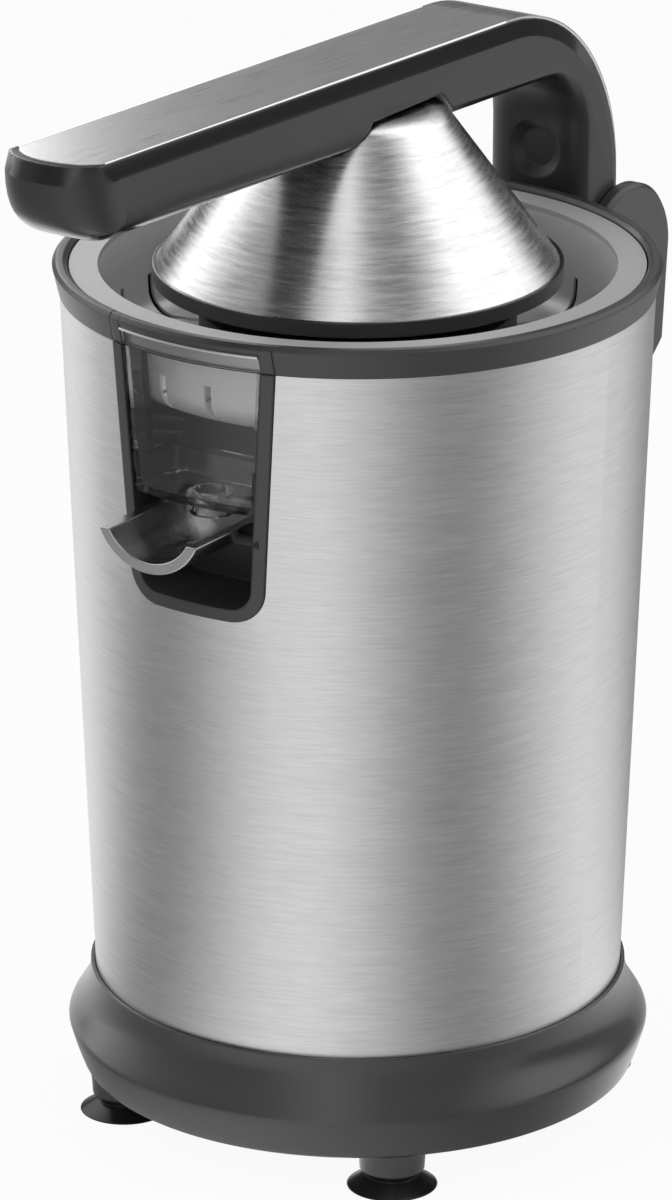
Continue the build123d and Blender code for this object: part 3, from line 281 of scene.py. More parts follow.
class JuicerStage(PropertyGroup):
    """The floor, the light and the camera."""

    floor_radius: length_setting("Floor", "Radius of the floor", 6.0)
    fill: FloatProperty(
        name="Fill", description="Strength of the room's soft light", min=0.0, default=0.55)
    studio_middle: FloatProperty(
        name="Studio", description="Mean brightness that metal sees round the room", min=0.0, default=0.68)
    studio_swing: FloatProperty(
        name="Studio Swing", description="Difference between the soft boxes and the gaps", min=0.0,
        default=0.36)
    studio_turn: angle_setting("Studio Turn", "Where the first soft box stands", -78.0)
    key: power_setting("Key Lamp", "Power of the key lamp", 11.0)
    side: power_setting("Side Lamp", "Power of the side lamp", 6.0)
    tip: power_setting("Tip Lamp", "Power of the lamp that the arm's tip reflects", 0.9)
    azimuth: angle_setting("Azimuth", "The camera's turn about the juicer", 34.2)
    pitch: angle_setting("Pitch", "The camera's tilt below the horizon", 20.24)
    reach: length_setting("Reach", "Level distance from the juicer's axis to the camera", 2.0691)
    camera_height: length_setting("Camera Height", "Height of the camera", 0.9210)
    lens: FloatProperty(
        name="Lens", description="Focal length in millimetres", min=1.0, default=221.1)
    shift: FloatProperty(
        name="Shift", description="Sideways shift of the frame", default=-0.0182)


# Finishes
def brushed_steel(name, colour, roughness, stretch, contrast, depth, anisotropy, edge=0.0):
    """Brushed steel: streaks run where the stretch is low, and an edge can be rounded."""
    sheet = new_sheet(name)
    place = sheet.stretched(*stretch)
    grain = sheet.noise(place, detail=5.0, roughness=0.65)
    broad = sheet.noise(place, scale=0.13, detail=2.0)
    tone = sheet.ramp(grain * 0.85 + broad * 0.15, (0.32, 0.0), (0.68, 1.0))
    return sheet.surface(
        base_color=sheet.mix(tone, shade(colour, 1.0 - contrast), shade(colour, 1.0 + contrast)),
        metallic=1.0,
        roughness=roughness + (tone - 0.5) * 0.10,
        anisotropic=anisotropy,
        anisotropic_rotation=0.25,
        normal=sheet.bump(grain, 0.35, depth, sheet.soft_edge(edge) if edge else None),
    )


def polished_steel(name, colour, roughness, satin_height=10.0, metal=1.0):
    """Pressed sheet with a soft polish and faint wipe marks, satin above a height."""
    sheet = new_sheet(name)
    height = sheet.split(sheet.place())[2]
    satin = sheet.ramp((height - satin_height) * 1000.0 + 0.5, (0.3, 0.0), (0.7, 1.0))
    wipes = sheet.noise(sheet.stretched(90.0, 90.0, 420.0), detail=4.0)
    spots = sheet.noise(sheet.place(), scale=55.0, detail=2.0)
    polish = sheet.mix(wipes, shade(colour, 0.93), shade(colour, 1.04))
    return sheet.surface(
        base_color=sheet.mix(satin, polish, shade(colour, 0.68)),
        metallic=metal,
        roughness=roughness + satin * 0.2 + (spots - 0.5) * 0.08 + (wipes - 0.5) * 0.06,
        normal=sheet.bump(wipes, 0.12, 0.0001),
    )


def moulded_plastic(name, colour, roughness, coat, edge, texture):
    """Moulded plastic: rounded edges, a fine spark texture and slightly uneven gloss."""
    sheet = new_sheet(name)
    place = sheet.place()
    spark = sheet.noise(place, scale=2600.0, detail=2.0)
    flow = sheet.noise(place, scale=26.0, detail=3.0)
    return sheet.surface(
        base_color=sheet.mix(flow, shade(colour, 0.90), shade(colour, 1.10)),
        roughness=roughness + (flow - 0.5) * 0.07 + (spark - 0.5) * 0.05,
        coat_weight=coat,
        coat_roughness=0.12,
        normal=sheet.bump(spark, texture, 0.00006, sheet.soft_edge(edge)),
    )


def arm_gloss_painted_shade(name, colour, edge):
    """Dark plastic of the arm: satin flanks and post, a glossy bevel and a glossy belly, both darkened as
    painted shade.
    """
    sheet = new_sheet(name)
    place = sheet.place()
    along, height = sheet.split(place)[1:]
    up = sheet.split(sheet.node("ShaderNodeTexCoord", out="Normal"))[2]
    flank = sheet.ramp(up * 0.5 + 0.5, (0.15, 0.0), (0.25, 1.0), (0.60, 1.0), (0.68, 0.0))
    low = sheet.ramp(height, (0.300, 1.0), (0.312, 0.0))
    post = sheet.ramp(along * 10.0, (0.70, 0.0), (0.85, 1.0)) * low
    flank = sheet.maths("MAXIMUM", flank, post)
    spark = sheet.noise(place, scale=2600.0, detail=2.0)
    flow = sheet.noise(place, scale=26.0, detail=3.0)
    satin = sheet.mix(flow, shade(colour, 0.90), shade(colour, 1.10))
    return sheet.surface(
        # Painted shade: faces turned up to the bevel or down to the belly take 0.15 of the plastic's colour,
        # darker than the glossy finish alone makes them.
        base_color=sheet.mix(flank, shade(colour, 0.15), satin),
        roughness=0.10 + flank * 0.28 + (flow - 0.5) * 0.06,
        coat_weight=(1.0 - flank) * 0.6,
        coat_roughness=0.06,
        normal=sheet.bump(spark, 0.05, 0.00006, sheet.soft_edge(edge)),
    )


def smoky_plastic(name, tint):
    """Clear smoky plastic with faint flow lines."""
    sheet = new_sheet(name)
    flow = sheet.noise(sheet.stretched(30.0, 30.0, 12.0), detail=2.0)
    return sheet.surface(
        base_color=sheet.mix(flow, shade(tint, 0.96), shade(tint, 1.04)),
        roughness=0.03 + flow * 0.03,
        transmission_weight=1.0,
        ior=1.45,
        normal=sheet.bump(flow, 0.05, 0.0002),
    )


def soft_rubber(name, colour, roughness):
    """Dark rubber with a dusty bloom in its fine grain."""
    sheet = new_sheet(name)
    place = sheet.place()
    grain = sheet.noise(place, scale=1500.0, detail=3.0)
    bloom = sheet.ramp(sheet.noise(place, scale=70.0, detail=3.0), (0.45, 0.0), (0.80, 1.0))
    return sheet.surface(
        base_color=sheet.mix(bloom, shade(colour, 1.0), shade(colour, 1.7)),
        roughness=roughness + bloom * 0.12,
        normal=sheet.bump(grain, 0.15, 0.00005, sheet.soft_edge(0.0004)),
    )


def turned_metal(name, colour, roughness):
    """Lathe-turned metal: fine rings across Z and a slight tarnish."""
    sheet = new_sheet(name)
    rings = sheet.noise(sheet.stretched(40.0, 40.0, 2400.0), detail=3.0)
    tarnish = sheet.noise(sheet.place(), scale=90.0, detail=3.0)
    return sheet.surface(
        base_color=sheet.mix(tarnish, shade(colour, 0.85), shade(colour, 1.05)),
        metallic=1.0,
        roughness=roughness + (tarnish - 0.5) * 0.12,
        normal=sheet.bump(rings, 0.2, 0.00005),
    )


def plated_sheet(name, colour):
    """Zinc-plated sheet with soft mottling."""
    sheet = new_sheet(name)
    place = sheet.place()
    spangle = sheet.node("ShaderNodeTexVoronoi", None, {"Vector": place, "Scale": 260.0})
    cloud = sheet.noise(place, scale=60.0)
    return sheet.surface(
        base_color=sheet.mix(spangle * 0.5 + cloud * 0.5, shade(colour, 0.85), shade(colour, 1.10)),
        metallic=0.85,
        roughness=0.38 + cloud * 0.12,
        normal=sheet.bump(spangle, 0.08, 0.0001),
    )


def wound_core(name, iron, copper):
    """Stacked iron sheets with copper windings at both ends."""
    sheet = new_sheet(name)
    place = sheet.place()
    low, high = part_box("armature")
    away = sheet.split(place)[2] - (low[2] + high[2]) / 2
    away = sheet.maths("ABSOLUTE", away) / ((high[2] - low[2]) / 2)
    winding = sheet.ramp(away, (0.62, 0.0), (0.66, 1.0))
    layers = sheet.node("ShaderNodeTexWave", {"bands_direction": "Z"}, {"Vector": place, "Scale": 320.0})
    return sheet.surface(
        base_color=sheet.mix(winding, shade(iron, 1.0), shade(copper, 1.0)),
        metallic=0.9,
        roughness=0.45 + layers * 0.2,
        normal=sheet.bump(layers, 0.4, 0.0003),
    )


# Shapes
def only(kind, made):
    """The items of one kind that an operator made."""
    return [item for item in made["geom"] if isinstance(item, kind)]


def once(items):
    """The items in their order, each one once."""
    return list(dict.fromkeys(items))


def all_of(mesh):
    """All verts, edges and faces of a mesh."""
    return list(mesh.verts) + list(mesh.edges) + list(mesh.faces)


def mesh_data(name, mesh):
    """Turns a bmesh into mesh data, with its faces turned outward, and frees it."""
    bmesh.ops.recalc_face_normals(mesh, faces=mesh.faces)
    data = bpy.data.meshes.new(name)
    mesh.to_mesh(data)
    mesh.free()
    return data


def add_object(name, data):
    """A new object in the scene."""
    item = bpy.data.objects.new(name, data)
    bpy.context.scene.collection.objects.link(item)
    return item


def cross_head(mesh, place, sizes):
    """A pan-head screw that points up, with a cross recess in the head's underside."""
    grid = bmesh.ops.create_grid(mesh, x_segments=3, y_segments=3, size=sizes.recess)["verts"]
    faces = once(face for vert in grid for face in vert.link_faces)
    centres = {face: face.calc_center_median() for face in faces}
    cross = [face for face in faces if min(abs(centres[face].x), abs(centres[face].y)) < 1e-6]
    square = once(edge for face in faces for edge in face.edges if edge.is_boundary)
    reach = sizes.head_radius * 0.8
    turn = Matrix.Rotation(math.radians(45), 4, "Z")
    round_verts = bmesh.ops.create_circle(mesh, segments=12, radius=reach, matrix=turn)["verts"]
    circle = once(edge for vert in round_verts for edge in vert.link_edges)
    bmesh.ops.bridge_loops(mesh, edges=square + circle)
    floor = only(BMVert, bmesh.ops.extrude_face_region(mesh, geom=cross))
    bmesh.ops.delete(mesh, geom=cross, context="FACES")
    bmesh.ops.translate(mesh, verts=floor, vec=(0, 0, sizes.recess_depth))
    head, shank = sizes.head_radius, sizes.shank_radius
    edges = [edge for edge in circle if edge.is_valid]
    height = 0.0
    verts = list(grid) + list(round_verts) + floor
    for radius, share in ((head, 0.35), (head, 1.0), (shank, 1.0), (shank, 4.0)):
        grown = bmesh.ops.extrude_edge_only(mesh, edges=edges)
        fresh = only(BMVert, grown)
        edges = only(BMEdge, grown)
        edges = [edge for edge in edges if edge.verts[0] in fresh and edge.verts[1] in fresh]
        bmesh.ops.scale(mesh, verts=fresh, vec=(radius / reach, radius / reach, 1.0))
        bmesh.ops.translate(mesh, verts=fresh, vec=(0, 0, share * sizes.head_height - height))
        verts += fresh
        reach = radius
        height = share * sizes.head_height
    bmesh.ops.edgenet_fill(mesh, edges=edges)
    bmesh.ops.translate(mesh, verts=once(vert for vert in verts if vert.is_valid), vec=place)


def outline_face(mesh, outline, angle, centre=(0.0, 0.0)):
    """A face from (radius, height) points, standing at an angle round an upright axis."""
    verts = []
    for radius, height in outline:
        x = centre[0] + radius * math.cos(angle)
        y = centre[1] + radius * math.sin(angle)
        verts.append(mesh.verts.new((x, y, height)))
    return mesh.faces.new(verts)


def turn_piece(mesh, outline, segments, centre=(0.0, 0.0)):
    """A full turn of an outline round an upright axis."""
    face = outline_face(mesh, outline, 0.0, centre)
    edges = list(face.edges)
    bmesh.ops.delete(mesh, geom=[face], context="FACES_ONLY")
    geom = once(vert for edge in edges for vert in edge.verts) + edges
    bmesh.ops.spin(
        mesh, geom=geom, cent=(centre[0], centre[1], 0.0), axis=(0, 0, 1), angle=2 * math.pi,
        steps=segments, use_merge=True)


def cut_off(mesh, place, outward):
    """Takes off what lies outside a plane and closes the cut."""
    bmesh.ops.bisect_plane(mesh, geom=all_of(mesh), plane_co=place, plane_no=outward, clear_outer=True)
    bmesh.ops.edgeloop_fill(mesh, edges=[edge for edge in mesh.edges if edge.is_boundary])


def turn_segment(mesh, outline, low, high):
    """Part of a turn at the front, cut off square at two places across."""
    spare = 0.004
    reach = max(radius for radius, height in outline)
    half = math.asin(min(1.0, (max(abs(low), abs(high)) + spare) / reach))
    fresh = bmesh.new()
    outline_face(fresh, outline, -math.pi / 2 - half)
    bmesh.ops.spin(fresh, geom=all_of(fresh), cent=(0, 0, 0), axis=(0, 0, 1), angle=2 * half, steps=40)
    for place, side in ((low, -1), (high, 1)):
        cut_off(fresh, (place, 0, 0), (side, 0, 0))
    join_into(mesh, fresh)


def half_pipe(mesh, inner, outer, height, near, far, top):
    """A half pipe from near to far along the depth, cut off level at the top."""
    fresh = bmesh.new()
    start = math.radians(-12)
    ends = []
    for radius in (inner, outer):
        place = (radius * math.cos(start), near, height + radius * math.sin(start))
        ends.append(fresh.verts.new(place))
    edge = fresh.edges.new(ends)
    sweep = math.pi + 2 * start
    bmesh.ops.spin(
        fresh, geom=ends + [edge], cent=(0, near, height), axis=(0, 1, 0), angle=sweep, steps=56)
    moved = only(BMVert, bmesh.ops.extrude_face_region(fresh, geom=list(fresh.faces)))
    bmesh.ops.translate(fresh, verts=moved, vec=(0, far - near, 0))
    cut_off(fresh, (0, 0, top), (0, 0, 1))
    join_into(mesh, fresh)


def join_into(mesh, fresh):
    """Adds one bmesh to another and frees it."""
    data = mesh_data("join", fresh)
    mesh.from_mesh(data)
    bpy.data.meshes.remove(data)


def cut_away(mesh, cutter):
    """The mesh with the cutter's shapes taken out of it; both are freed."""
    stock = add_object("stock", mesh_data("stock", mesh))
    tool = add_object("cutter", mesh_data("cutter", cutter))
    step = stock.modifiers.new("cut", "BOOLEAN")
    step.operation = "DIFFERENCE"
    step.solver = "EXACT"
    step.use_self = True
    step.object = tool
    graph = bpy.context.evaluated_depsgraph_get()
    data = bpy.data.meshes.new_from_object(stock.evaluated_get(graph))
    fresh = bmesh.new()
    fresh.from_mesh(data)
    bpy.data.meshes.remove(data)
    for item in (stock, tool):
        data = item.data
        bpy.data.objects.remove(item)
        bpy.data.meshes.remove(data)
    return fresh


def cross_rod(mesh, radius, half, place, segments):
    """A rod across the part, round a place."""
    rod = bmesh.ops.create_cone(
        mesh, cap_ends=True, segments=segments, radius1=radius, radius2=radius, depth=2 * half)["verts"]
    bmesh.ops.rotate(mesh, verts=rod, cent=(0, 0, 0), matrix=Matrix.Rotation(math.pi / 2, 3, "Y"))
    bmesh.ops.translate(mesh, verts=rod, vec=place)


def upright_cone(mesh, low_radius, high_radius, low, high):
    """A cone on the upright axis."""
    cone = bmesh.ops.create_cone(
        mesh, cap_ends=True, segments=96, radius1=low_radius, radius2=high_radius, depth=high - low)
    bmesh.ops.translate(mesh, verts=cone["verts"], vec=(0, 0, (low + high) / 2))


def arm_side(mesh, sizes, post_front, post_back, post_low, top_front):
    """The arm's side outline as a face on the middle plane, with its bends rounded."""
    lean = math.tan(sizes.lean)
    post_thickness = 0.023

    def top(depth):
        return top_front - (depth + sizes.tip) * lean

    under = top(-sizes.tip) - sizes.thickness
    corners = [
        (-sizes.tip + sizes.bevel_in, top(-sizes.tip)),
        (-sizes.tip, top(-sizes.tip) - sizes.bevel_drop),
        (-sizes.tip, under),
        (post_front, top(post_front) - post_thickness),
        (post_front, post_low),
        (post_back, post_low),
        (post_back, top(post_back)),
    ]
    verts = [mesh.verts.new((0.0, depth, height)) for depth, height in corners]
    mesh.faces.new(verts)
    rounds = ((verts[2], sizes.nose, 9), (verts[3], sizes.inner_bend, 8), (verts[6], sizes.bend, 14))
    for vert, radius, segments in rounds:
        bmesh.ops.bevel(
            mesh, geom=[vert], offset=radius, offset_type="OFFSET", segments=segments, profile=0.5,
            affect="VERTICES", material=-1)


def arm_half_piece(mesh, sizes, half, post_front, post_back, top_front):
    """Draws the side outline out to one side, with the bevel, the belly and the nose drawn in."""
    face = list(mesh.faces)[0]
    lean = math.tan(sizes.lean)
    flat, ring, thinning, squareness = 0.0004, 0.004, 0.55, 2.5
    chin = -sizes.tip + sizes.nose
    bend_start = post_back - sizes.bend
    centre = (bend_start, top_front - (bend_start + sizes.tip) * lean - sizes.bend)
    loop = [corner.vert for corner in face.loops]
    turn = face.normal.x
    pulls = []
    for index, vert in enumerate(loop):
        before, after = loop[index - 1].co, loop[(index + 1) % len(loop)].co
        run = (after - before).normalized()
        inward = Vector((0.0, -run.z, run.y)) * (1.0 if turn > 0 else -1.0)
        depth, height = vert.co.y, vert.co.z
        top = top_front - (depth + sizes.tip) * lean
        reach = math.hypot(depth - centre[0], height - centre[1])
        crown = abs(height - top) < flat or (depth > centre[0] and reach > sizes.bend - ring)
        if depth < chin and not crown:
            share = min(1.0, max(0.0, (depth + sizes.tip) / sizes.nose))
            pulls.append((inward, 0.0, share, 1.0 - share))
        elif crown:
            inward = Vector((0.0, 0.0, -1.0)) if depth < chin else inward
            pulls.append((inward, 1.0, 0.0, 1.0 if depth < chin else 0.0))
        else:
            thin = min(1.0, max(0.0, (depth - chin) / (post_front - sizes.inner_bend - chin)))
            pulls.append((inward, 0.0, 1.0 - thinning * thin, 0.0))
    start_places = [vert.co.copy() for vert in loop]
    places = list(start_places)
    for share in (0.30, 0.50, 0.66, 0.78, 0.875, 0.943, 0.983, 1.0):
        across = half * share
        bevel = max(0.0, (across - half + sizes.bevel_in) / sizes.bevel_in) * sizes.bevel_drop
        inset = max(0.0, across - half + sizes.belly)
        belly = sizes.belly - math.sqrt(max(0.0, sizes.belly ** 2 - inset ** 2))
        bow = sizes.bow * (1.0 - math.sqrt(max(0.0, 1.0 - share ** squareness)))
        old = face
        face = only(BMFace, bmesh.ops.extrude_face_region(mesh, geom=[face]))[0]
        bmesh.ops.delete(mesh, geom=[old], context="FACES_ONLY")
        for vert in [corner.vert for corner in face.loops]:
            nearest = min(range(len(places)), key=lambda item: (places[item] - vert.co).length)
            inward, crown_share, belly_share, nose_share = pulls[nearest]
            place = start_places[nearest] + inward * (bevel * crown_share + belly * belly_share)
            vert.co = place + Vector((across, bow * nose_share, 0.0))
            places[nearest] = vert.co.copy()


def piece_from(name, mesh, material, body, sharp=28.0):
    """Turns a bmesh into a piece that rides on a body; faces with many corners stay flat."""
    outline_corners = 12
    for face in mesh.faces:
        face.smooth = len(face.verts) < outline_corners
    data = mesh_data(name, mesh)
    data.set_sharp_from_angle(angle=math.radians(sharp))
    data.materials.append(material)
    piece = add_object(name, data)
    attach(piece, body)
    return piece


# Operators
class JUICER_OT_body(Operator):
    """Finish the steel body, its rim, its frame and the black pieces"""

    bl_idname = "juicer.body"
    bl_label = "Body"

    def execute(self, context):
        look = context.scene.juicer_finishes
        streaks = (85.0, 85.0, 1700.0)
        steel = brushed_steel("body steel", look.steel, look.steel_roughness, streaks, 0.12, 0.00006, 0.5)
        dress(steel, "steel_sleeve")
        dark = moulded_plastic("dark plastic", look.dark_plastic, 0.36, 0.15, look.edge, 0.10)
        dress(dark, "top_rim", "spout_surround", "hinge_bracket")
        black = moulded_plastic("black plastic", look.black_plastic, 0.42, 0.0, look.edge * 0.5, 0.2)
        dress(black, "base_plate", "start_switch", "reamer", "reamer_skirt")
        return {"FINISHED"}


class JUICER_OT_feet(Operator):
    """Finish the suction feet, the cord gland and the seal"""

    bl_idname = "juicer.feet"
    bl_label = "Feet"

    def execute(self, context):
        cups = soft_rubber("cup rubber", (0.012, 0.012, 0.013), 0.22)
        dress(cups, "foot_front_left", "foot_front_right", "foot_rear_left", "foot_rear_right")
        dress(soft_rubber("gland rubber", (0.02, 0.02, 0.021), 0.5), "cord_gland", "shaft_seal")
        return {"FINISHED"}


class JUICER_OT_base(Operator):
    """Make the base ring with its cove and flared bosses"""

    bl_idname = "juicer.base"
    bl_label = "Base Ring"

    def execute(self, context):
        sizes = context.scene.juicer_base
        seat_gap, plate_gap, lip_wall, wall, wide_wall = 0.0002, 0.0003, 0.0012, 0.0022, 0.0026
        foot_round, foot_lift, ledge = 0.0010, 0.0006, 0.0030
        neck, bore, sink = 0.0056, 0.0045, 0.0005
        plate_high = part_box("base_plate")[1]
        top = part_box("base_housing")[1][2]
        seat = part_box("steel_sleeve")[0][2] - seat_gap
        groove = sizes.lip_radius - lip_wall
        inside = plate_high[0] + plate_gap
        wide, level = sizes.wide_radius, sizes.wide_height
        flare = wide - sizes.lip_radius
        rise = top - level
        tuck = wide - sizes.foot_radius
        drop = level - sizes.foot_height
        cove = (
            (0.0, 1.0), (0.0, 0.94), (0.03, 0.83), (0.10, 0.70), (0.20, 0.58), (0.33, 0.46), (0.49, 0.35),
            (0.67, 0.24), (0.83, 0.145), (0.93, 0.08), (0.98, 0.035), (1.0, 0.0),
        )
        below = ((0.02, 0.06), (0.16, 0.22), (0.38, 0.46), (0.66, 0.72), (0.92, 0.95), (1.0, 1.0))
        outline = [(groove, seat), (groove, top)]
        outline += [(sizes.lip_radius + flare * out, level + rise * up) for out, up in cove]
        outline += [(wide - tuck * back, level - drop * down) for back, down in below]
        outline += [
            (sizes.foot_radius - foot_round, sizes.foot_height - foot_lift),
            (inside, sizes.foot_height - foot_lift),
            (inside, sizes.foot_height + ledge),
            (wide - wide_wall, level),
            (groove - wall, seat - wall),
            (groove - wall, seat),
        ]
        mesh = bmesh.new()
        turn_piece(mesh, outline, 144)
        rise = plate_high[2] + sink - neck
        spread = ((0.0, 0.0), (0.10, 0.30), (0.20, 0.52), (0.42, 0.70), (0.75, 0.86), (1.0, 1.0))
        boss = [(sizes.boss_radius + sizes.boss_flare * out, neck + rise * up) for out, up in spread]
        boss += [(bore, neck + rise), (bore, neck)]
        for corner in ("front_left", "front_right", "rear_left", "rear_right"):
            cup_low, cup_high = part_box("foot_" + corner)
            centre = ((cup_low[0] + cup_high[0]) / 2, (cup_low[1] + cup_high[1]) / 2)
            turn_piece(mesh, boss, 48, centre)
        look = context.scene.juicer_finishes
        dark = moulded_plastic("base plastic", look.dark_plastic, 0.28, 0.35, look.edge, 0.06)
        piece = piece_from("base_ring", mesh, dark, "body")
        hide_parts("base_housing")
        return {"FINISHED"}


class JUICER_OT_lip(Operator):
    """Make the lip over the window, the stile heads, a darker steel skirt as painted shade and a bright bead
    as a painted highlight on the pane's edge
    """

    bl_idname = "juicer.lip"
    bl_label = "Window Lip"

    def execute(self, context):
        sizes = context.scene.juicer_lip
        look = context.scene.juicer_finishes
        taper, edge, split, setback, lap, skirt_wall = 0.0018, 0.0012, 0.0001, 0.0004, 0.0004, 0.0003
        half = sizes.half_width
        low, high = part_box("collector_lip")
        foot, top = low[2], high[2]
        reach = -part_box("top_rim")[0][0]
        foot_reach = reach - taper
        inner = reach - sizes.thickness
        under = top - sizes.height
        front = foot_reach + (reach - foot_reach) * ((under - foot) / (top - foot))
        crown = [(reach, top - edge), (reach - edge, top), (inner + edge, top), (inner, top - edge)]
        mesh = bmesh.new()
        turn_segment(mesh, [(inner, under), (front, under)] + crown, -half, half)
        stile = [(inner, foot), (foot_reach, foot)] + crown
        near = half + split
        far = half + sizes.stile_width
        turn_segment(mesh, stile, -far, -near)
        turn_segment(mesh, stile, near, far)
        dark = moulded_plastic("lip plastic", look.dark_plastic, 0.36, 0.15, look.edge, 0.10)
        piece = piece_from("window_lip", mesh, dark, "body")
        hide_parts("collector_lip")
        foot_face, face = foot_reach - setback, front - setback
        pane = [(foot_face - sizes.pane, foot), (foot_face, foot), (face, under), (face - sizes.pane, under)]
        back = inner - skirt_wall
        skirt = [(back, foot - lap), (inner, foot - lap), (inner, under + lap), (back, under + lap)]
        size = sizes.bead
        turns = [step * math.pi / 4 for step in range(8)]
        bead = [(front + size * math.cos(turn), under - size + size * math.sin(turn)) for turn in turns]
        # Painted shade: the skirt steel has half the strainer steel's colour, for the strainer wall in shade
        # behind the pane.
        steel = polished_steel("shaded skirt steel", (0.45, 0.45, 0.445), 0.32, metal=0.6)
        # Painted highlight: the bead's steel is near white, a bright line of light along the pane's edge.
        painted_highlight_steel = polished_steel("highlight bead steel", (0.85, 0.85, 0.85), 0.25)
        for name, outline, material, slot in (
            ("pane_head", pane, smoky_plastic("pane plastic", look.smoke), "smoky_clear"),
            ("strainer_skirt", skirt, steel, "bright_steel"),
            ("pane_highlight_bead", bead, painted_highlight_steel, "bright_steel"),
        ):
            mesh = bmesh.new()
            turn_segment(mesh, outline, -half, half)
            piece_from(name, mesh, material, "body")
        return {"FINISHED"}


class JUICER_OT_trough(Operator):
    """Make the spout trough with its flat front edge, and its pins"""

    bl_idname = "juicer.trough"
    bl_label = "Spout Trough"

    def execute(self, context):
        sizes = context.scene.juicer_trough
        look = context.scene.juicer_finishes
        hub, lap, pin_half = 0.001, 0.0002, 0.00425
        low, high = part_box("spout_trough")
        centre = low[2] + sizes.radius
        inner = sizes.radius - sizes.wall
        mesh = bmesh.new()
        half_pipe(mesh, inner, sizes.radius, centre, low[1], high[1], high[2])
        half_pipe(mesh, hub, inner + lap, centre, high[1] - sizes.wall, high[1], high[2])
        steel = polished_steel("trough steel", (0.50, 0.50, 0.495), 0.24)
        trough = piece_from("trough", mesh, steel, "spout")
        bevel = trough.modifiers.new("edge", "BEVEL")
        bevel.width = sizes.edge
        bevel.segments = 2
        bevel.limit_method = "ANGLE"
        mesh = bmesh.new()
        for side in (-1, 1):
            place = (side * (high[0] - pin_half), low[1] + sizes.pin_back, high[2] - sizes.pin_drop)
            cross_rod(mesh, sizes.pin_radius, pin_half, place, 24)
        black = moulded_plastic("pin plastic", look.black_plastic, 0.42, 0.0, 0.0004, 0.2)
        piece_from("trough_pins", mesh, black, "spout")
        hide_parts("spout_trough")
        return {"FINISHED"}


class JUICER_OT_screws(Operator):
    """Make the base screws with cross recesses"""

    bl_idname = "juicer.screws"
    bl_label = "Base Screws"

    def execute(self, context):
        sizes = context.scene.juicer_screws
        low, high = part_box("base_screws")
        reach = sizes.head_radius
        lift = 0.0002
        mesh = bmesh.new()
        for x in (low[0] + reach, high[0] - reach):
            for y in (low[1] + reach, high[1] - reach):
                cross_head(mesh, Vector((x, y, low[2] + lift)), sizes)
        metal = turned_metal("screw metal", (0.62, 0.62, 0.60), 0.3)
        piece = piece_from("cross_head_screws", mesh, metal, "body")
        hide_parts("base_screws")
        return {"FINISHED"}


class JUICER_OT_lever(Operator):
    """Finish the arm's plug and its inlaid plate, and make a painted highlight: a lighter steel strip along
    each edge of the plate
    """

    bl_idname = "juicer.lever"
    bl_label = "Lever"

    def execute(self, context):
        look = context.scene.juicer_finishes
        lean = context.scene.juicer_arm.lean
        width, inset, sunk, nose, far = 0.0006, 0.0003, 0.0002, 0.007, 0.056
        plug = moulded_plastic("plug plastic", look.arm_plastic, 0.38, 0.0, look.edge * 0.5, 0.1)
        dress(plug, "arm_plug")
        streaks = (3000.0, 40.0, 40.0)
        plate = brushed_steel("plate steel", look.steel, 0.30, streaks, 0.07, 0.00004, 0.0, 0.0008)
        dress(plate, "arm_top_plate")
        low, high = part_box("arm_top_plate")
        near = low[1] + nose
        middle = (near + far) / 2
        top = high[2] - (middle - low[1]) * math.tan(lean)
        turn = Matrix.Rotation(-lean, 3, "X") @ Matrix.Rotation(math.pi / 4, 3, "Y")
        mesh = bmesh.new()
        for side in (-1, 1):
            strip = bmesh.ops.create_cube(mesh, size=1.0)["verts"]
            bmesh.ops.scale(mesh, verts=strip, vec=(width, far - near, width))
            bmesh.ops.rotate(mesh, verts=strip, cent=(0, 0, 0), matrix=turn)
            bmesh.ops.translate(mesh, verts=strip, vec=(side * (high[0] - inset), middle, top - sunk))
        # Painted highlight: each strip's steel is lighter than the plate's, a line of light along the plate's
        # rounded edge.
        painted_highlight_steel = polished_steel("highlight strip steel", (0.80, 0.80, 0.80), 0.22)
        piece_from("plate_highlight_strip", mesh, painted_highlight_steel, "lever")
        return {"FINISHED"}


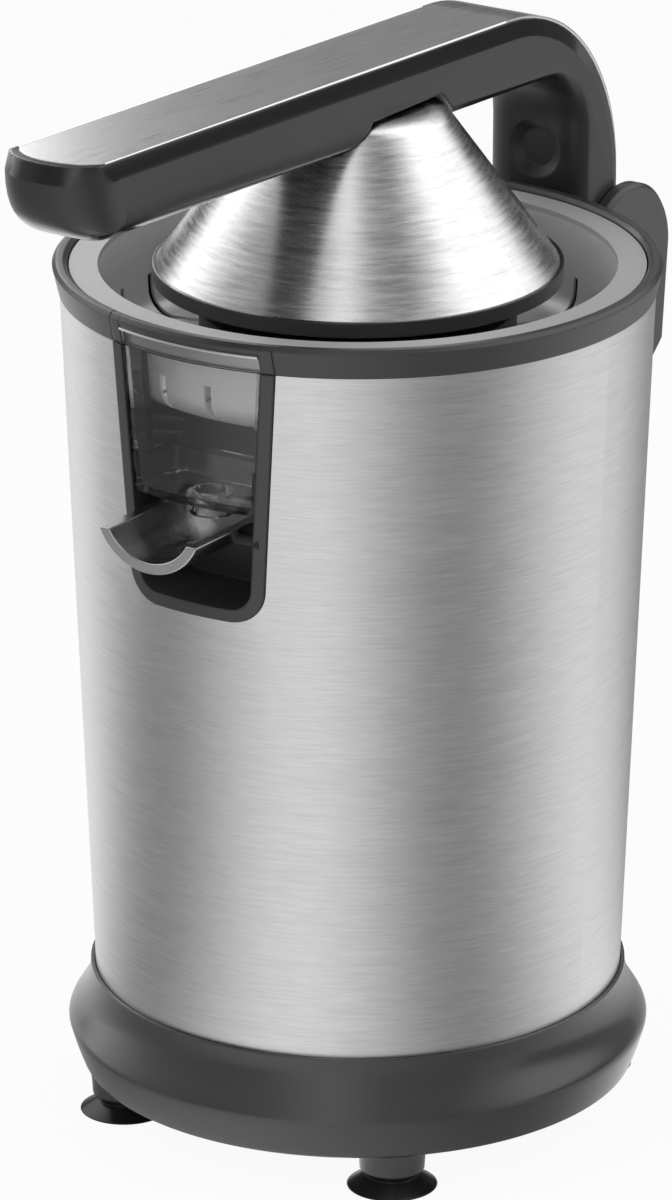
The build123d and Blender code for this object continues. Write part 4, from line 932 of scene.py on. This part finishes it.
class JUICER_OT_arm(Operator):
    """Make the lever arm with its rounded nose, its bevel and its seats"""

    bl_idname = "juicer.arm"
    bl_label = "Arm"

    def execute(self, context):
        sizes = context.scene.juicer_arm
        look = context.scene.juicer_finishes
        inset, gap, flare, lap = 0.0003, 0.0012, 0.0006, 0.0001
        crown, mouth_drop, neck_drop, head = 0.0248, 0.030, 0.0045, 0.0240
        dish_wide, dish_narrow, dish_depth, dish_sunk = 0.0094, 0.0058, 0.0024, 0.0010
        arm_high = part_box("lever_arm")[1]
        plate_low, plate_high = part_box("arm_top_plate")
        pin_low, pin_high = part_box("hinge_pin")
        plug_low, plug_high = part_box("arm_plug")
        cone_low, cone_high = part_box("press_cone")
        hinge = (0.0, (pin_low[1] + pin_high[1]) / 2, (pin_low[2] + pin_high[2]) / 2)
        half = arm_high[0]
        post_back = arm_high[1] - inset
        post_front = 2 * hinge[1] - arm_high[1]
        top_front = plate_high[2] - inset + (sizes.tip + plate_low[1]) * math.tan(sizes.lean)
        mesh = bmesh.new()
        arm_side(mesh, sizes, post_front, post_back, hinge[2], top_front)
        arm_half_piece(mesh, sizes, half, post_front, post_back, top_front)
        bmesh.ops.mirror(mesh, geom=all_of(mesh), matrix=Matrix.Identity(4), merge_dist=0.00002, axis="X")
        slope = (cone_high[0] - crown) / (cone_high[2] - cone_low[2])
        mouth_radius = crown + mouth_drop * slope + gap + flare
        neck_radius = crown + neck_drop * slope + gap
        neck = cone_high[2] - neck_drop
        cutter = bmesh.new()
        upright_cone(cutter, mouth_radius, neck_radius, cone_high[2] - mouth_drop, neck)
        mesh = cut_away(mesh, cutter)
        cutter = bmesh.new()
        upright_cone(cutter, neck_radius, head + gap, neck - lap, cone_high[2] + gap)
        mesh = cut_away(mesh, cutter)
        cutter = bmesh.new()
        made = bmesh.ops.create_cone(
            cutter, cap_ends=True, segments=64, radius1=dish_wide, radius2=dish_narrow, depth=dish_depth)
        dish = made["verts"]
        bmesh.ops.rotate(cutter, verts=dish, cent=(0, 0, 0), matrix=Matrix.Rotation(-math.pi / 2, 3, "X"))
        place = (0, post_front + dish_sunk, (plug_low[2] + plug_high[2]) / 2)
        bmesh.ops.translate(cutter, verts=dish, vec=place)
        mesh = cut_away(mesh, cutter)
        cross_rod(mesh, (post_back - post_front) / 2, half, hinge, 64)
        # The arm's plastic holds painted shade on its bevel and belly.
        glossy_shaded_plastic = arm_gloss_painted_shade("arm plastic", look.arm_plastic, look.edge)
        arm = piece_from("arm", mesh, glossy_shaded_plastic, "lever", 20.0)
        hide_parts("lever_arm")
        return {"FINISHED"}


class JUICER_OT_press(Operator):
    """Finish the press cone, its ring and its liner"""

    bl_idname = "juicer.press"
    bl_label = "Press"

    def execute(self, context):
        look = context.scene.juicer_finishes
        streaks = (75.0, 75.0, 950.0)
        cone = brushed_steel("press steel", look.press_steel, 0.27, streaks, 0.22, 0.0001, 0.5)
        dress(cone, "press_cone")
        dress(moulded_plastic("ring plastic", look.arm_plastic, 0.22, 0.5, look.edge, 0.03), "press_ring")
        grey = moulded_plastic("grey plastic", (0.22, 0.22, 0.22), 0.4, 0.0, look.edge * 0.5, 0.15)
        dress(grey, "press_liner", "chassis_deck")
        return {"FINISHED"}


class JUICER_OT_bowl(Operator):
    """Finish the strainer and the clear collector"""

    bl_idname = "juicer.bowl"
    bl_label = "Bowl"

    def execute(self, context):
        look = context.scene.juicer_finishes
        flange_thickness = 0.0015
        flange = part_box("strainer_bowl")[1][2] - flange_thickness
        strainer = polished_steel("strainer steel", (0.90, 0.90, 0.895), 0.30, flange, 0.2)
        dress(strainer, "strainer_bowl", "strainer_dish")
        dress(smoky_plastic("smoky plastic", look.smoke), "juice_collector")
        return {"FINISHED"}


class JUICER_OT_drive(Operator):
    """Finish the motor, the gears and the shafts"""

    bl_idname = "juicer.drive"
    bl_label = "Drive"

    def execute(self, context):
        shafts = turned_metal("shaft steel", (0.66, 0.66, 0.65), 0.22)
        dress(shafts, "drive_spindle", "return_spring", "idler_axle", "motor_shaft", "hinge_pin", "press_pin")
        dress(shafts, "press_lug", "motor_screws", "bracket_screws", "gearbox_pillars")
        nylon = moulded_plastic("gear nylon", (0.72, 0.70, 0.63), 0.4, 0.0, 0.0003, 0.1)
        dress(nylon, "drive_gear", "idler_gear", "switch_plunger")
        dress(turned_metal("bush brass", (0.72, 0.52, 0.22), 0.26), "plate_bush", "deck_bush", "motor_pinion")
        dress(plated_sheet("zinc plate", (0.55, 0.56, 0.57)), "gear_plate", "motor_can")
        dress(wound_core("wound core", (0.14, 0.135, 0.13), (0.58, 0.26, 0.12)), "armature")
        return {"FINISHED"}


# Stage
def studio_glow(sheet, direction, stage):
    """The brightness that metal sees round the room: three soft boxes with gaps between them."""
    boxes = 3.0
    x, y = sheet.split(direction)[:2]
    wave = (sheet.maths("ARCTAN2", y, x) - stage.studio_turn) * boxes
    return stage.studio_middle + stage.studio_swing * sheet.maths("COSINE", wave)


def upper_glow(sheet, direction):
    """The brightness over the horizon: soft boxes and gaps, low at the back near the floor."""
    x, y, z = sheet.split(direction)
    degrees_and_strengths = (
        (-180, 2.2), (-165, 1.4), (-150, 0.6), (-120, 0.3), (-95, 0.4), (-68, 1.5), (-45, 0.5), (-15, 0.25),
        (5, 0.9), (20, 1.9), (72, 1.9), (95, 0.6), (124, 0.6), (165, 1.4), (180, 2.2),
    )
    top = max(strength for angle, strength in degrees_and_strengths)
    turn = sheet.maths("ARCTAN2", y, x) / (2 * math.pi) + 0.5
    shares = [(angle / 360 + 0.5, strength / top) for angle, strength in degrees_and_strengths]
    low_band = sheet.ramp(z, (0.20, 0.10), (0.32, 1.0))
    front = sheet.ramp(y, (0.10, 1.0), (0.35, 0.0))
    return sheet.ramp(turn, *shares) * top * sheet.maths("MAXIMUM", low_band, front)


def rays(sheet):
    """Whether a ray comes from the camera, and whether from metal or through clear plastic."""
    camera = sheet.node("ShaderNodeLightPath", out="Is Camera Ray")
    kinds = camera.socket.node.outputs
    mirror = Value(sheet, kinds["Is Glossy Ray"])
    clear = Value(sheet, kinds["Is Transmission Ray"])
    return camera, sheet.maths("MAXIMUM", mirror, clear)


def studio_world(stage):
    """White to the camera, soft boxes to metal and glass, plain soft light to the rest."""
    sheet = Sheet(bpy.data.worlds.new("studio"))
    glow = upper_glow(sheet, sheet.node("ShaderNodeTexCoord", out="Generated"))
    camera, seen = rays(sheet)
    strength = camera + (1.0 - camera) * (seen * glow + (1.0 - seen) * stage.fill)
    light = sheet.node("ShaderNodeBackground", None, {"Strength": strength})
    sheet.node("ShaderNodeOutputWorld", None, {"Surface": light})
    return sheet.owner


def floor_paint(stage):
    """A white floor that keeps a soft shadow and shows metal the room's soft boxes."""
    sheet = new_sheet("floor paint")
    glow = studio_glow(sheet, sheet.place(), stage)
    camera, seen = rays(sheet)
    paint = sheet.node("ShaderNodeBsdfDiffuse", None, {"Color": (0.86, 0.86, 0.86, 1.0)})
    white = sheet.node("ShaderNodeEmission", None, {"Strength": 1.0})
    room = sheet.node("ShaderNodeEmission", None, {"Strength": glow})
    shown = sheet.node("ShaderNodeMixShader", None, {0: camera * 0.94, 1: paint, 2: white})
    shown = sheet.node("ShaderNodeMixShader", None, {0: seen, 1: shown, 2: room})
    sheet.node("ShaderNodeOutputMaterial", None, {"Surface": shown})
    return sheet.owner


def area_lamp(name, power, size, place, aim, mirrored=False):
    """A square soft lamp that points at a spot; metal shows it only where it is mirrored."""
    data = bpy.data.lights.new(name, "AREA")
    data.energy = power
    data.size = size
    lamp = add_object(name, data)
    lamp.location = place
    lamp.rotation_euler = (Vector(aim) - Vector(place)).to_track_quat("-Z", "Y").to_euler()
    lamp.visible_glossy = mirrored


class JUICER_OT_stage(Operator):
    """Set up the floor, the light and the camera"""

    bl_idname = "juicer.stage"
    bl_label = "Stage"

    def execute(self, context):
        scene = context.scene
        stage = scene.juicer_stage
        scene.world = studio_world(stage)
        mesh = bmesh.new()
        bmesh.ops.create_circle(mesh, cap_ends=True, segments=64, radius=stage.floor_radius)
        data = bpy.data.meshes.new("floor")
        mesh.to_mesh(data)
        mesh.free()
        data.materials.append(floor_paint(stage))
        floor = add_object("floor", data)
        aim = (0.0, 0.0, 0.17)
        area_lamp("key lamp", stage.key, 1.4, (-0.5, -1.6, 1.5), aim)
        area_lamp("side lamp", stage.side, 1.2, (1.7, 0.3, 1.2), aim)
        area_lamp("tip lamp", stage.tip, 0.3, (-0.60, 0.40, 0.56), (0.0, -0.15, 0.33), True)
        data = bpy.data.cameras.new("camera")
        data.sensor_width = 36.0
        data.lens = stage.lens
        data.shift_x = stage.shift
        data.clip_start = 0.1
        data.clip_end = 50.0
        camera = add_object("camera", data)
        camera.location = (
            stage.reach * math.sin(stage.azimuth),
            -stage.reach * math.cos(stage.azimuth),
            stage.camera_height,
        )
        camera.rotation_euler = (math.pi / 2 - stage.pitch, 0.0, stage.azimuth)
        scene.camera = camera
        scene.view_settings.view_transform = "Standard"
        return {"FINISHED"}


class JUICER_PT_panel(Panel):
    """The juicer's steps and settings"""

    bl_idname = "JUICER_PT_panel"
    bl_label = "Citrus Juicer"
    bl_space_type = "VIEW_3D"
    bl_region_type = "UI"
    bl_category = "Juicer"

    def draw(self, context):
        for step in steps:
            self.layout.operator(step.bl_idname)
        for group in groups:
            settings = getattr(context.scene, group)
            for name in settings.bl_rna.properties.keys():
                if name not in ("name", "rna_type"):
                    self.layout.prop(settings, name)


steps = (
    JUICER_OT_body, JUICER_OT_base, JUICER_OT_lip, JUICER_OT_trough, JUICER_OT_feet, JUICER_OT_screws,
    JUICER_OT_lever, JUICER_OT_arm, JUICER_OT_press, JUICER_OT_bowl, JUICER_OT_drive, JUICER_OT_stage,
)
groups = {
    "juicer_finishes": JuicerFinishes,
    "juicer_base": JuicerBase,
    "juicer_lip": JuicerLip,
    "juicer_trough": JuicerTrough,
    "juicer_arm": JuicerArm,
    "juicer_screws": JuicerScrews,
    "juicer_stage": JuicerStage,
}


def register():
    """Registers the settings, the steps and the panel."""
    for name, group in groups.items():
        bpy.utils.register_class(group)
        setattr(bpy.types.Scene, name, PointerProperty(type=group))
    for step in steps:
        bpy.utils.register_class(step)
    bpy.utils.register_class(JUICER_PT_panel)


def unregister():
    """Takes them out again."""
    bpy.utils.unregister_class(JUICER_PT_panel)
    for step in reversed(steps):
        bpy.utils.unregister_class(step)
    for name, group in groups.items():
        delattr(bpy.types.Scene, name)
        bpy.utils.unregister_class(group)


def main():
    """Runs every step."""
    register()
    bpy.ops.juicer.body()
    bpy.ops.juicer.base()
    bpy.ops.juicer.lip()
    bpy.ops.juicer.trough()
    bpy.ops.juicer.feet()
    bpy.ops.juicer.screws()
    bpy.ops.juicer.lever()
    bpy.ops.juicer.arm()
    bpy.ops.juicer.press()
    bpy.ops.juicer.bowl()
    bpy.ops.juicer.drive()
    bpy.ops.juicer.stage()


if __name__ == "__main__":
    main()
